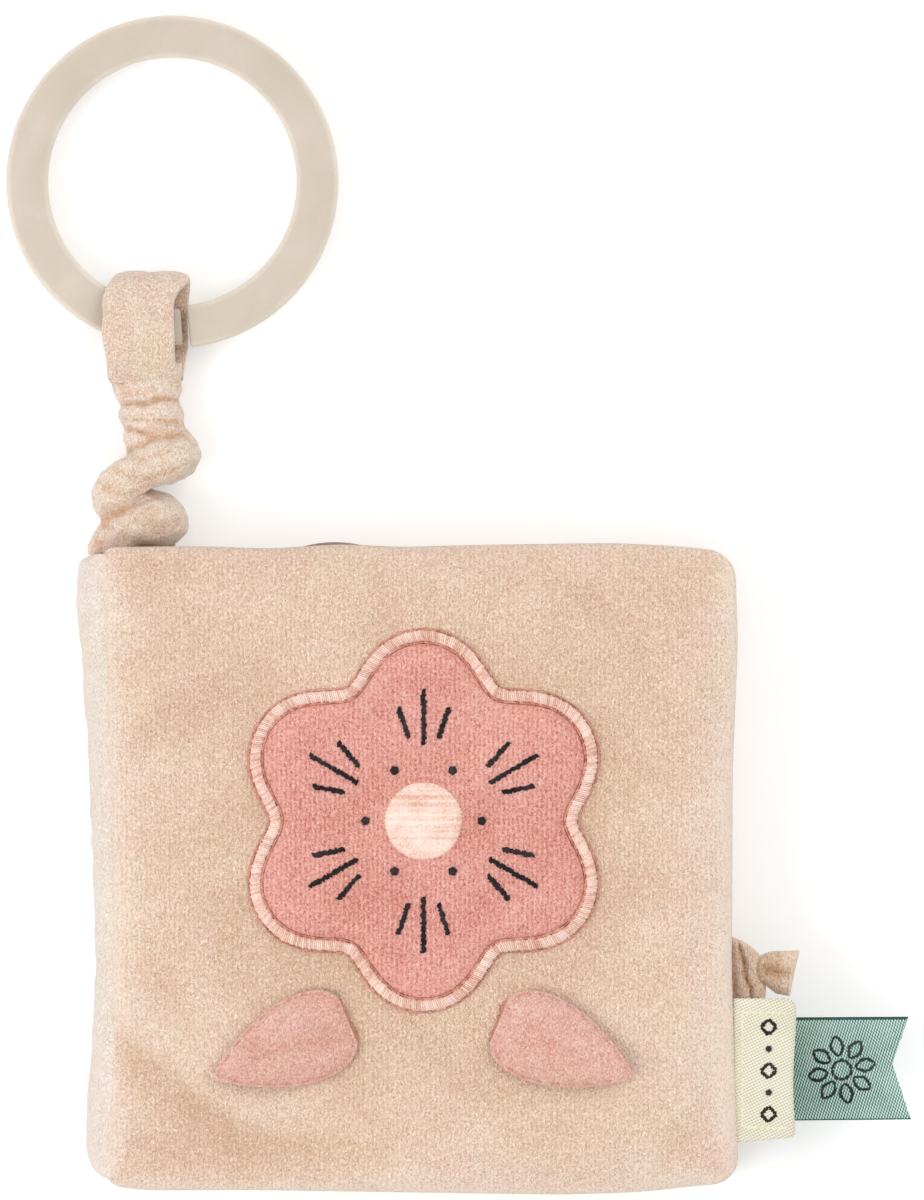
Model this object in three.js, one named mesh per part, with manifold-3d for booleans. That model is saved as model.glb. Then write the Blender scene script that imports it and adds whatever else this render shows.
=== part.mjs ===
// Soft activity book for a baby, lying closed on its back cover. Millimetres, Z up.
// The origin is the middle of the closed book's flat back face. X runs from the spine to the
// fore edge, and Y runs along the spine towards the strap and its ring.

import * as THREE from 'three';
import { mergeVertices } from 'three/addons/utils/BufferGeometryUtils.js';
import Module from 'manifold-3d';

const wasm = await Module();
wasm.setup();

// Clearance
const seat = 0.3; // left between soft pieces that touch
const overrun = 2; // how far a cutting body passes the face that it cuts

// Cloth
const plushThickness = 1.4;
const cottonThickness = 0.9;

// Leaves: front cover, page and back cover
const leafWidth = 121.8; // from the spine seam to the fore edge
const leafHeight = 124.8;
const leafThickness = 8.6;
const leafCorner = 5.5;
const leafSideDraw = 1.2; // how far the seams draw in the two upright sides at mid-height
const leafEdgeWidth = 11; // from a leaf's seam to the flat of its crown
const leafFlatCut = 0.5; // depth of the flat on the back face, which the book rests on
const pageInset = 1; // the page is smaller than its covers by this on every side

// Spine strip
const spineDepth = 6.4; // from the leaves' seam to the outermost point
const spineSag = 4.2; // how far the strip falls inwards below its top corner
const spineSagPlace = -18; // height along the spine where it has fallen furthest
const spineLowerRise = 2.2; // how far it comes out again by the bottom corner
const spineTurnIn = 0.8; // depth of the strip's two long edges below the cover faces
const spineEnd = 1.6; // the strip stops this far short of the leaf's top and bottom

// Mirror behind its window in the page
const windowRadius = 21;
const mirrorRadius = 25;
const mirrorThickness = 0.8;
const windowBinding = 2.6; // width of the bound edge round the window
const mirrorPlaceY = 4;

// Crinkle foil in the page
const foilSideMargin = 10.9; // from the page's seam to the foil, at its sides
const foilEndMargin = 11.4; // and at its top and bottom
const foilThickness = 0.3;

// Squeaker in the front cover
const squeakerRadius = 15;
const squeakerWall = 0.8;
const squeakerMouthRadius = 2.4;
const reedRadius = 2.1;
const reedBore = 0.9;
const reedLength = 3.4;
const squeakerFromForeEdge = 38.1;
const squeakerFromBottom = 28.4;

// Round-topped tab sewn into the page's top seam
const tabRadius = 22.5;
const tabFromSpine = 43.7; // middle of the tab, from the spine seam
const tabRise = 2.2; // how far the crest of the tab stands above the page's edge
const tabThickness = 2;

// Appliqued flower on the front cover
const flowerRadius = 31;
const flowerRise = 9.5; // the flower's middle, above the cover's
const flowerPetals = 6;
const flowerTurn = Math.PI / 6; // direction of the first petal
const flowerPetalShare = 0.115; // how far the petals swell past the mean radius
const flowerSharpShare = 0.012; // how much rounder than a plain wave each petal is
const flowerThickness = 2.2;
const borderWidth = 2.3; // satin-stitched edge
const borderHeight = 2.6;
const flowerEyeRadius = 7.5;
const flowerEyeHeight = 1.4;

// Two loose leaf-shaped flaps sewn on below the flower, along their base only
const flapLength = 28;
const flapWidth = 15;
const flapBaseWidth = 8;
const flapThickness = 2;
const flapRootX = 14.5; // middle of a flap's base, out from the flower's middle
const flapRootDrop = 38.5; // and below it
const flapDroop = Math.PI / 8; // how far each flap points down from level

// Woven labels: the cream one in the front cover's fore-edge seam, the green one in the page's
const creamWidth = 27.8;
const creamStandOut = 10.7; // how far the fold stands out past the cover
const creamFromBottom = 23.7; // middle of the label, from the cover's bottom
const creamTape = 0.55; // thickness of one layer
const creamFold = 0.5; // space inside the fold
const creamSeamThickness = 0.9; // the label is pressed thin where it enters the seam
const creamSeamTaper = 1.2;
const creamCorner = 3;
const greenWidth = 20;
const greenStandOut = 33; // how far the green label's two points stand out past the cover
const greenFromBottom = 23.7;
const greenThickness = 0.8;
const greenNotch = 3.4; // depth of the swallowtail

// Knotted plush tail in the page's fore-edge seam
const tailFromBottom = 43.6;
const tailWidth = 11.4;
const tailThickness = 4.4;
const tailPleatLength = 7.2;
const tailEndLength = 6.2;
const tailWaist = 7.6;
const tailEndWidth = 9.4;

// Strap: a gathered plush sleeve with elastic inside, and a loop that holds the ring
const strapAnchorWidth = 18.6;
const strapAnchorThickness = 4;
const strapAnchorInset = 3.5; // middle of the anchor, in from the spine seam
const strapInset = 7.1; // and middle of the strap
const strapHeight = 5.9; // height of the strap's middle above the table
const sleeveSwingInset = 5.7; // the axis that the strap swings on, in from the spine seam
const sleeveSwingRise = 11.1; // and above the cover's top
const sleeveSwingLimit = Math.PI / 6; // how far the strap swings to either side
const sleeveHalfWidth = 7.3;
const sleeveHalfThickness = 4.4;
const sleeveSway = 1.5; // how far the wound bulges lean left and right
const sleevePitch = 15.2;
const sleeveRidge = 0.7; // height of the gathers that wind round the sleeve
const sleeveLowerReach = 6.7; // from the swing axis to where the upper sleeve begins
const sleeveNeckHalfWidth = 5.8;
const sleeveNeckHalfThickness = 3.7;
const sleeveUpperLength = 14.4;
const elasticWidth = 6;
const elasticThickness = 1.2;
const elasticPlay = 0.8;

// Plastic ring
const ringRadius = 32.2;
const ringBand = 8.15; // width of the ring's flat, from its outer edge to its bore
const ringThickness = 4.2;
const ringCorner = 1.1;
const ringOffset = 5.1; // the ring's middle, out from the strap's towards the book
const ringGap = 6.2; // from the top of the sleeve to the ring
const ringSplit = 1.3; // opening between the ring's two ends
const ringTongue = 4; // length of the slimmer end that snaps shut
const ringTongueStep = 0.35;
const ringSplitShare = -0.472; // place of the opening, as a share of a half turn from +X

// Strap loop round the ring
const loopWidth = 14.5;
const loopCloth = 3.1;
const loopSlack = 0.6; // clearance round the ring's section
const loopStem = 5.2;
const loopCrease = 0.9;
const loopRound = 0.9;

// Fineness of the curved surfaces, in counts
const cornerSteps = 4;
const sideSteps = 5;
const spineStations = 12;
const spineProfileSteps = 4;
const flowerSteps = 60;
const flapSteps = 9;
const ringSteps = 56;
const sleeveSides = 20;
const loopSteps = 32;
const roundSteps = 32;

// Places that follow from the sizes above
const halfThickness = leafThickness / 2;
const leafX = spineDepth / 2;
const spineSeamX = leafX - leafWidth / 2;
const foreEdgeX = leafX + leafWidth / 2;
const leafPitch = leafThickness + seat;
const backZ = halfThickness;
const pageZ = backZ + leafPitch;
const frontZ = pageZ + leafPitch;
const coverTop = frontZ + halfThickness;
const spineOuterX = spineSeamX - spineDepth;
const leafTopY = leafHeight / 2;
const squeakerPlaceX = foreEdgeX - squeakerFromForeEdge;
const squeakerPlaceY = squeakerFromBottom - leafTopY;
const creamFoldX = foreEdgeX + creamStandOut;
const creamPlaceY = creamFromBottom - leafTopY;
const greenTip = foreEdgeX + greenStandOut;
const greenPlaceY = greenFromBottom - leafTopY;
const tailPlaceY = tailFromBottom - leafTopY;
const strapAnchorPlaceX = spineSeamX + strapAnchorInset;
const strapPlaceX = spineSeamX + strapInset;
const sleeveSwingX = spineSeamX + sleeveSwingInset;
const sleeveSwingY = leafTopY + sleeveSwingRise;
const sleeveSplit = sleeveSwingY + sleeveLowerReach;
const sleeveTop = sleeveSplit + sleeveUpperLength;
const ringBoreRadius = ringRadius - ringBand;
const ringPlaceX = strapPlaceX + ringOffset;
const ringPlaceY = sleeveTop + ringGap + ringRadius;

const book = new THREE.Group();

// Colours and finishes of the materials
const materials = {
  plush: new THREE.MeshStandardMaterial({ color: 0xe6c7b1, roughness: 0.95 }),
  cotton: new THREE.MeshStandardMaterial({ color: 0xf1e6d6, roughness: 0.9 }),
  spine: new THREE.MeshStandardMaterial({ color: 0xf2e3d3, roughness: 0.92 }),
  wadding: new THREE.MeshStandardMaterial({ color: 0xfafafa, roughness: 1 }),
  coral: new THREE.MeshStandardMaterial({ color: 0xdf9b8e, roughness: 0.95 }),
  satin: new THREE.MeshStandardMaterial({ color: 0xf0c7b5, roughness: 0.55 }),
  creamTape: new THREE.MeshStandardMaterial({ color: 0xe4dfcc, roughness: 0.8 }),
  greenTape: new THREE.MeshStandardMaterial({ color: 0x9cc0b2, roughness: 0.8 }),
  mauve: new THREE.MeshStandardMaterial({ color: 0xa8938a, roughness: 0.9 }),
  tan: new THREE.MeshStandardMaterial({ color: 0xd0ab8c, roughness: 0.95 }),
  ring: new THREE.MeshStandardMaterial({ color: 0xdfd3c3, roughness: 0.5 }),
  mirror: new THREE.MeshStandardMaterial({ color: 0xd8dde0, roughness: 0.08, metalness: 0.9 }),
  foil: new THREE.MeshStandardMaterial({ color: 0xcfd3d6, roughness: 0.3, metalness: 0.4 }),
  rubber: new THREE.MeshStandardMaterial({ color: 0xf4f4ee, roughness: 0.6 }),
  elastic: new THREE.MeshStandardMaterial({ color: 0xf5f3ee, roughness: 0.8 }),
};

// Adds one named piece. A piece built about its own place is put there by its position
function addPiece(name, geometry, material, parent = book) {
  const mesh = new THREE.Mesh(geometry, material);
  mesh.name = name;
  parent.add(mesh);
  return mesh;
}

// Volume inside a closed indexed mesh, negative where its faces point inwards
function signedVolume(geometry) {
  const place = geometry.attributes.position;
  const index = geometry.index;
  const a = new THREE.Vector3();
  const b = new THREE.Vector3();
  const c = new THREE.Vector3();
  let volume = 0;
  for (let i = 0; i < index.count; i += 3) {
    a.fromBufferAttribute(place, index.getX(i));
    b.fromBufferAttribute(place, index.getX(i + 1));
    c.fromBufferAttribute(place, index.getX(i + 2));
    volume += a.dot(b.cross(c)) / 6;
  }
  return volume;
}

// Skins a row of rings that have the same number of points. An open row gets a cap at each
// end, and a closed row joins its last ring to its first
function skin(rings, closed = false) {
  const count = rings[0].length;
  const positions = [];
  const faces = [];
  for (const ring of rings) {
    for (const point of ring) {
      positions.push(point.x, point.y, point.z);
    }
  }
  const bands = closed ? rings.length : rings.length - 1;
  for (let band = 0; band < bands; band++) {
    const low = band * count;
    const high = ((band + 1) % rings.length) * count;
    for (let i = 0; i < count; i++) {
      const next = (i + 1) % count;
      faces.push(low + i, high + i, high + next);
      faces.push(low + i, high + next, low + next);
    }
  }
  if (!closed) {
    for (const end of [0, rings.length - 1]) {
      const middle = new THREE.Vector3();
      rings[end].forEach((point) => middle.add(point));
      middle.divideScalar(count);
      const hub = positions.length / 3;
      positions.push(middle.x, middle.y, middle.z);
      for (let i = 0; i < count; i++) {
        const next = (i + 1) % count;
        const here = end * count + i;
        const there = end * count + next;
        if (end === 0) {
          faces.push(hub, here, there);
        } else {
          faces.push(hub, there, here);
        }
      }
    }
  }
  const geometry = new THREE.BufferGeometry();
  geometry.setAttribute('position', new THREE.Float32BufferAttribute(positions, 3));
  geometry.setIndex(faces);
  if (signedVolume(geometry) < 0) {
    for (let i = 0; i < faces.length; i += 3) {
      [faces[i], faces[i + 1]] = [faces[i + 1], faces[i]];
    }
    geometry.setIndex(faces);
  }
  geometry.computeVertexNormals();
  return geometry;
}

// Solid of a closed geometry, for cutting and joining
function solidOf(geometry) {
  const bare = geometry.clone();
  bare.deleteAttribute('normal');
  bare.deleteAttribute('uv');
  const merged = mergeVertices(bare);
  return new wasm.Manifold(new wasm.Mesh({
    numProp: 3,
    vertProperties: new Float32Array(merged.attributes.position.array),
    triVerts: new Uint32Array(merged.index.array),
  }));
}

function geometryOf(solid) {
  const mesh = solid.getMesh();
  const geometry = new THREE.BufferGeometry();
  const places = new Float32Array(mesh.vertProperties);
  geometry.setAttribute('position', new THREE.BufferAttribute(places, 3));
  geometry.setIndex(new THREE.BufferAttribute(new Uint32Array(mesh.triVerts), 1));
  geometry.computeVertexNormals();
  return geometry;
}

function cut(geometry, ...tools) {
  return geometryOf(tools.reduce((rest, tool) => rest.subtract(solidOf(tool)), solidOf(geometry)));
}

// Turns a profile of (radius, height) points round the Z axis
function turned(profile, steps = roundSteps) {
  const points = profile.map(([radius, height]) => new THREE.Vector2(radius, height));
  return new THREE.LatheGeometry(points, steps).rotateX(Math.PI / 2);
}

function disc(radius, low, high) {
  return turned([[0, low], [radius, low], [radius, high], [0, high]]);
}

// How far a leaf's upright sides are drawn in at a given height along the spine
function drawnIn(y, height) {
  return leafSideDraw * Math.cos((Math.PI * y) / height);
}

// Plan outline of a leaf about its own centre, brought in from the seam by an inset
function leafOutline(width, height, inset) {
  const halfWidth = width / 2 - leafCorner;
  const halfHeight = height / 2 - leafCorner;
  const corners = [[1, 1], [-1, 1], [-1, -1], [1, -1]];
  const arcs = corners.map(([right, up], quarter) => {
    const arc = [];
    for (let i = 0; i <= cornerSteps; i++) {
      const angle = (quarter + i / cornerSteps) * (Math.PI / 2);
      arc.push(new THREE.Vector2(
        right * halfWidth + leafCorner * Math.cos(angle),
        up * halfHeight + leafCorner * Math.sin(angle),
      ));
    }
    return arc;
  });
  const points = [];
  arcs.forEach((arc, quarter) => {
    const next = arcs[(quarter + 1) % arcs.length][0];
    points.push(...arc);
    for (let i = 1; i < sideSteps; i++) {
      points.push(arc[cornerSteps].clone().lerp(next, i / sideSteps));
    }
  });
  const scaleX = 1 - inset / (width / 2);
  const scaleY = 1 - inset / (height / 2);
  return points.map((point) => {
    const side = (point.x / (width / 2)) * drawnIn(point.y, height);
    return new THREE.Vector2((point.x - side) * scaleX, point.y * scaleY);
  });
}

// The soft round of a leaf's edge: distance in from the seam and rise, as shares
const edgeShares = [0, 0.035, 0.14, 0.34, 0.62, 1];
const liningShares = [0, 0.14, 0.62, 1]; // the same round, seen from inside
function riseShare(share) {
  return Math.sqrt(1 - (1 - share) ** 2);
}

function ringAt(outline, z) {
  return outline.map((point) => new THREE.Vector3(point.x + leafX, point.y, z));
}

// One cloth panel of a leaf: a dish that rises from its seam and has the same form inside
function panel(width, height, seamZ, side, cloth, flatCut = 0) {
  const rise = halfThickness - seat / 2;
  const rings = [];
  for (const share of [...edgeShares].reverse()) {
    const lift = Math.min((rise + flatCut) * riseShare(share), rise);
    rings.push(ringAt(leafOutline(width, height, share * leafEdgeWidth), seamZ + side * lift));
  }
  for (const share of liningShares) {
    const inset = cloth + share * (leafEdgeWidth - cloth);
    const lift = (rise - cloth) * riseShare(share);
    rings.push(ringAt(leafOutline(width, height, inset), seamZ + side * lift));
  }
  return skin(rings);
}

// The wadding between two panels, which follows them at a small clearance
function wadding(width, height, middleZ, clothAbove, clothBelow) {
  const start = Math.max(clothAbove, clothBelow) + seat;
  const rings = [];
  for (const share of [...liningShares].reverse()) {
    const inset = start + share * (leafEdgeWidth - start);
    const lift = (halfThickness - clothAbove - seat) * riseShare(share);
    rings.push(ringAt(leafOutline(width, height, inset), middleZ + lift));
  }
  for (const share of liningShares.slice(1)) {
    const inset = start + share * (leafEdgeWidth - start);
    const drop = (halfThickness - clothBelow - seat) * riseShare(share);
    rings.push(ringAt(leafOutline(width, height, inset), middleZ - drop));
  }
  return skin(rings);
}

// Spine strip: one padded length for each leaf, so that each leaf can turn
function spineFall(y) {
  if (y > spineSagPlace) {
    const share = (y - spineSagPlace) / (leafTopY - spineSagPlace);
    return spineSag * (1 - share ** 2);
  }
  const share = (y - spineSagPlace) / (-leafTopY - spineSagPlace);
  return spineSag - spineLowerRise * share ** 2;
}

const spineEndShares = [0.45, 0.8, 0.95];
function spineStrip(lowZ, highZ) {
  const middle = coverTop / 2;
  const reach = leafTopY - spineEnd;
  const rings = [];
  for (let station = 0; station <= spineStations; station++) {
    const y = reach * (2 * (station / spineStations) - 1);
    const fromEnd = Math.min(station, spineStations - station);
    const endShare = fromEnd < spineEndShares.length ? spineEndShares[fromEnd] : 1;
    const insideX = spineSeamX + drawnIn(Math.min(Math.abs(y), leafTopY), leafHeight) - seat;
    const outsideX = spineOuterX + spineFall(y);
    const ring = [new THREE.Vector3(insideX, y, lowZ)];
    for (let i = 0; i <= spineProfileSteps; i++) {
      const z = lowZ + (highZ - lowZ) * (i / spineProfileSteps);
      const offShare = Math.abs(z - middle) / middle;
      const bulge = (1 - offShare ** 2.6) ** (1 / 2.6) * endShare;
      ring.push(new THREE.Vector3(insideX + (outsideX - insideX) * bulge, y, z));
    }
    ring.push(new THREE.Vector3(insideX, y, highZ));
    rings.push(ring);
  }
  return skin(rings);
}

// Back cover
addPiece('back_cover_outer', panel(leafWidth, leafHeight, backZ - seat / 2, -1, plushThickness,
  leafFlatCut), materials.plush);
addPiece('back_cover_inner', panel(leafWidth, leafHeight, backZ + seat / 2, 1, cottonThickness),
  materials.cotton);
addPiece('back_cover_wadding', wadding(leafWidth, leafHeight, backZ, cottonThickness,
  plushThickness), materials.wadding);
addPiece('spine_back', spineStrip(spineTurnIn, leafThickness), materials.spine);

// Page, with the mirror behind its window and the crinkle foil under the wadding
const pageWidth = leafWidth - 2 * pageInset;
const pageHeight = leafHeight - 2 * pageInset;
const pageTop = pageZ + halfThickness;
const mirrorTop = pageTop - cottonThickness - seat;
const mirrorBottom = mirrorTop - mirrorThickness;
const pocketBottom = mirrorBottom - seat;
const foilBottom = pageZ - halfThickness + cottonThickness + seat;
const foilTop = foilBottom + foilThickness;

const windowCut = disc(windowRadius + windowBinding, pageZ, pageTop + overrun)
  .translate(leafX, mirrorPlaceY, 0);
const mirrorPocket = disc(mirrorRadius + seat, pocketBottom, pageTop + overrun)
  .translate(leafX, mirrorPlaceY, 0);
const foilWidth = pageWidth - 2 * foilSideMargin;
const foilHeight = pageHeight - 2 * foilEndMargin;
const foilPocketWidth = foilWidth + 2 * seat;
const foilPocketHeight = foilHeight + 2 * seat;
const foilPocketDepth = foilTop + seat + overrun;
const foilPocket = new THREE.BoxGeometry(foilPocketWidth, foilPocketHeight, foilPocketDepth)
  .translate(leafX, 0, foilTop + seat - foilPocketDepth / 2);

addPiece('page_front_panel', cut(panel(pageWidth, pageHeight, pageZ + seat / 2, 1,
  cottonThickness), windowCut), materials.cotton);
addPiece('page_back_panel', panel(pageWidth, pageHeight, pageZ - seat / 2, -1, cottonThickness),
  materials.cotton);
addPiece('page_wadding', cut(wadding(pageWidth, pageHeight, pageZ, cottonThickness,
  cottonThickness), mirrorPocket, foilPocket), materials.wadding);
addPiece('crinkle_foil', new THREE.BoxGeometry(foilWidth, foilHeight, foilThickness)
  .translate(leafX, 0, (foilBottom + foilTop) / 2), materials.foil);
addPiece('mirror', disc(mirrorRadius, mirrorBottom, mirrorTop), materials.mirror)
  .position.set(leafX, mirrorPlaceY, 0);
const bindingOuter = windowRadius + windowBinding - seat;
const bindingRound = cottonThickness / 3;
addPiece('mirror_window_binding', turned([
  [windowRadius, pageTop - cottonThickness],
  [bindingOuter, pageTop - cottonThickness],
  [bindingOuter, pageTop - bindingRound],
  [bindingOuter - bindingRound, pageTop],
  [windowRadius + bindingRound, pageTop],
  [windowRadius, pageTop - bindingRound],
  [windowRadius, pageTop - cottonThickness],
]), materials.satin).position.set(leafX, mirrorPlaceY, 0);
addPiece('spine_page', spineStrip(pageZ - halfThickness, pageTop), materials.spine);

// The tab is a segment of a disc: its straight side lies along the page's seam
const tabBase = pageHeight / 2 + seat;
const tabCentreY = tabBase + tabRise - tabRadius;
const tabHalfChord = Math.sqrt(tabRadius ** 2 - (tabBase - tabCentreY) ** 2);
const tabSweep = Math.asin(tabHalfChord / tabRadius);
const tabShape = new THREE.Shape();
tabShape.absarc(0, tabCentreY, tabRadius, Math.PI / 2 - tabSweep, Math.PI / 2 + tabSweep);
tabShape.closePath();
addPiece('page_tab', new THREE.ExtrudeGeometry(tabShape, {
  depth: tabThickness,
  bevelEnabled: false,
  curveSegments: roundSteps / 2,
}), materials.mauve).position.set(spineSeamX + tabFromSpine, 0, pageZ - tabThickness / 2);

// Knotted tail: pleats that run from the seam to the knot, and the flared end beyond it
function tailPiece(startX, length, widthShares, thickShares, foldShare) {
  const sides = 16;
  const rings = widthShares.map((widthShare, i) => {
    const x = startX + length * (i / (widthShares.length - 1));
    const ring = [];
    for (let side = 0; side < sides; side++) {
      const angle = (2 * Math.PI * side) / sides;
      const fold = 1 + foldShare * Math.cos(4 * angle);
      ring.push(new THREE.Vector3(
        x,
        tailPlaceY + (tailWidth / 2) * widthShare * Math.cos(angle),
        pageZ + (tailThickness / 2) * thickShares[i] * fold * Math.sin(angle),
      ));
    }
    return ring;
  });
  return skin(rings);
}

const pageForeX = foreEdgeX - pageInset;
const tailReachY = Math.abs(tailPlaceY) + tailWidth / 2;
const tailStartX = pageForeX - drawnIn(tailReachY, pageHeight) + seat;
const waistShare = tailWaist / tailWidth;
const tailEndShare = tailEndWidth / tailWidth;
addPiece('tail_pleats', tailPiece(tailStartX, tailPleatLength,
  [0.9, 1, 1, 0.92, (1 + waistShare) / 2, waistShare], [0.12, 0.62, 0.9, 1, 1, 0.85], 0.12),
materials.tan);
addPiece('tail_end', tailPiece(tailStartX + tailPleatLength + seat, tailEndLength,
  [waistShare, (waistShare + tailEndShare) / 2, tailEndShare, tailEndShare, tailEndShare * 0.94],
  [0.85, 1, 0.9, 0.75, 0.55], 0.08), materials.tan);

// Front cover, with the squeaker in a pocket of its wadding
const waddingTop = coverTop - plushThickness - seat;
const waddingBottom = frontZ - halfThickness + cottonThickness + seat;
const squeakerPocket = disc(squeakerRadius + seat, waddingBottom - overrun, waddingTop + overrun)
  .translate(squeakerPlaceX, squeakerPlaceY, 0);
addPiece('front_cover_outer', panel(leafWidth, leafHeight, frontZ + seat / 2, 1,
  plushThickness), materials.plush);
addPiece('front_cover_inner', panel(leafWidth, leafHeight, frontZ - seat / 2, -1,
  cottonThickness), materials.cotton);
addPiece('front_cover_wadding', cut(wadding(leafWidth, leafHeight, frontZ, plushThickness,
  cottonThickness), squeakerPocket), materials.wadding);
addPiece('spine_front', spineStrip(frontZ - halfThickness, coverTop - spineTurnIn),
  materials.spine);

// The squeaker is a thin bellows with a waist, open at the mouth that holds its reed
const squeakerHeight = waddingTop - waddingBottom;
const bellowsWaist = squeakerHeight / 6;
const bellowsOuter = [
  [squeakerMouthRadius, waddingBottom],
  [squeakerRadius - squeakerHeight / 4, waddingBottom],
  [squeakerRadius, waddingBottom + squeakerHeight / 4],
  [squeakerRadius - bellowsWaist, waddingBottom + squeakerHeight / 2],
  [squeakerRadius, waddingTop - squeakerHeight / 4],
  [squeakerRadius - squeakerHeight / 4, waddingTop],
  [0, waddingTop],
];
const bellowsInner = [
  [0, waddingTop - squeakerWall],
  [squeakerRadius - squeakerHeight / 4 - squeakerWall, waddingTop - squeakerWall],
  [squeakerRadius - squeakerWall - bellowsWaist, waddingTop - squeakerHeight / 4],
  [squeakerRadius - squeakerWall - 2 * bellowsWaist, waddingBottom + squeakerHeight / 2],
  [squeakerRadius - squeakerWall - bellowsWaist, waddingBottom + squeakerHeight / 4],
  [squeakerRadius - squeakerHeight / 4 - squeakerWall, waddingBottom + squeakerWall],
  [squeakerMouthRadius, waddingBottom + squeakerWall],
  [squeakerMouthRadius, waddingBottom],
];
addPiece('squeaker_bulb', turned([...bellowsOuter, ...bellowsInner]), materials.rubber)
  .position.set(squeakerPlaceX, squeakerPlaceY, 0);
addPiece('squeaker_reed', turned([
  [reedBore, waddingBottom],
  [reedRadius, waddingBottom],
  [reedRadius, waddingBottom + reedLength],
  [reedBore, waddingBottom + reedLength],
  [reedBore, waddingBottom],
], roundSteps / 2), materials.rubber).position.set(squeakerPlaceX, squeakerPlaceY, 0);

// Appliqued flower: a padded patch, its satin-stitched edge and a round eye
function flowerPoint(angle) {
  const wave = Math.cos(flowerPetals * (angle - flowerTurn));
  const roundness = Math.cos(2 * flowerPetals * (angle - flowerTurn));
  const radius = flowerRadius * (1 + flowerPetalShare * wave - flowerSharpShare * roundness);
  return new THREE.Vector2(radius * Math.cos(angle), radius * Math.sin(angle));
}

// A point of the flower's edge moved out square to the edge
function flowerOffset(angle, distance) {
  const step = Math.PI / flowerSteps / 8;
  const along = flowerPoint(angle + step).sub(flowerPoint(angle - step)).normalize();
  return flowerPoint(angle).add(new THREE.Vector2(along.y, -along.x).multiplyScalar(distance));
}

const flowerAngles = Array.from({ length: flowerSteps }, (_, i) => (2 * Math.PI * i) / flowerSteps);
const appliqueBase = coverTop + seat;
const pillowShares = [[0.55, 1], [0.86, 0.95], [0.95, 0.78], [1, 0.4], [1, 0]];
const flower = new THREE.Group();
flower.position.set(leafX, flowerRise, appliqueBase);
book.add(flower);
addPiece('flower_patch', skin(pillowShares.map(([reachShare, riseShareHere]) =>
  flowerAngles.map((angle) => {
    const point = flowerPoint(angle).multiplyScalar(reachShare);
    return new THREE.Vector3(point.x, point.y, flowerThickness * riseShareHere);
  }))), materials.coral, flower);

const borderShares = [[0, 0], [0, 0.62], [0.22, 0.93], [0.5, 1], [0.78, 0.93], [1, 0.62], [1, 0]];
addPiece('flower_border', skin(borderShares.map(([acrossShare, upShare]) =>
  flowerAngles.map((angle) => {
    const point = flowerOffset(angle, seat + borderWidth * acrossShare);
    return new THREE.Vector3(point.x, point.y, borderHeight * upShare);
  })), true), materials.satin, flower);

const eyeBase = flowerThickness + seat;
const eyeSoft = flowerEyeHeight / 2;
addPiece('flower_eye', turned([
  [0, eyeBase],
  [flowerEyeRadius, eyeBase],
  [flowerEyeRadius, eyeBase + eyeSoft],
  [flowerEyeRadius - eyeSoft, eyeBase + flowerEyeHeight],
  [0, eyeBase + flowerEyeHeight],
]), materials.satin, flower);

// Leaf flaps: pointed ovals, padded, with a rounded base that they turn on
function flapGeometry() {
  const half = [];
  for (let i = 0; i <= flapSteps; i++) {
    const along = i / flapSteps;
    const swell = Math.sin(Math.PI * along ** 0.75) ** 0.75;
    const base = (flapBaseWidth / 2) * (1 - along) ** 3;
    half.push([along * flapLength, base + (flapWidth / 2) * swell]);
  }
  const edge = half.map(([x, y]) => new THREE.Vector2(x, y));
  const lower = half.slice(1, -1).reverse().map(([x, y]) => new THREE.Vector2(x, -y));
  const outline = [...edge, ...lower, new THREE.Vector2(0, -half[0][1])];
  const middle = new THREE.Vector2(flapLength * 0.42, 0);
  const shares = [[0.5, 1], [0.84, 0.94], [0.95, 0.76], [1, 0.5], [0.95, 0.24], [0.84, 0.06],
    [0.5, 0]];
  return skin(shares.map(([reachShare, upShare]) => outline.map((point) => {
    const place = middle.clone().lerp(point, reachShare);
    return new THREE.Vector3(place.x, place.y, flapThickness * upShare);
  })));
}

// The flaps spread to both sides from below the flower
for (const [name, side] of [['flap_left', -1], ['flap_right', 1]]) {
  const flap = addPiece(name, flapGeometry(), materials.coral, flower);
  flap.position.set(side * flapRootX, -flapRootDrop, 0);
  flap.rotation.z = side > 0 ? -flapDroop : Math.PI + flapDroop;
}

// Cream label: one tape folded back on itself, its fold outwards
const creamEdge = foreEdgeX - drawnIn(Math.abs(creamPlaceY) + creamWidth / 2, leafHeight);
const creamStartX = creamEdge + 2 * seat;
const creamThickness = 2 * creamTape + creamFold;
const creamReach = creamFoldX - creamStartX;
const creamOutline = new THREE.Shape();
creamOutline.moveTo(0, -creamWidth / 2);
creamOutline.lineTo(creamReach, -creamWidth / 2);
creamOutline.lineTo(creamReach, creamWidth / 2 - creamCorner);
creamOutline.quadraticCurveTo(creamReach, creamWidth / 2, creamReach - creamCorner,
  creamWidth / 2);
creamOutline.lineTo(0, creamWidth / 2);
creamOutline.closePath();
const creamSolid = new THREE.ExtrudeGeometry(creamOutline, {
  depth: creamThickness,
  bevelEnabled: false,
  curveSegments: cornerSteps,
});
const creamInsideDepth = creamReach - creamTape;
const creamInside = new THREE.BoxGeometry(creamInsideDepth + overrun, creamWidth + 2 * overrun,
  creamFold).translate((creamInsideDepth - overrun) / 2, 0, creamThickness / 2);
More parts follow.
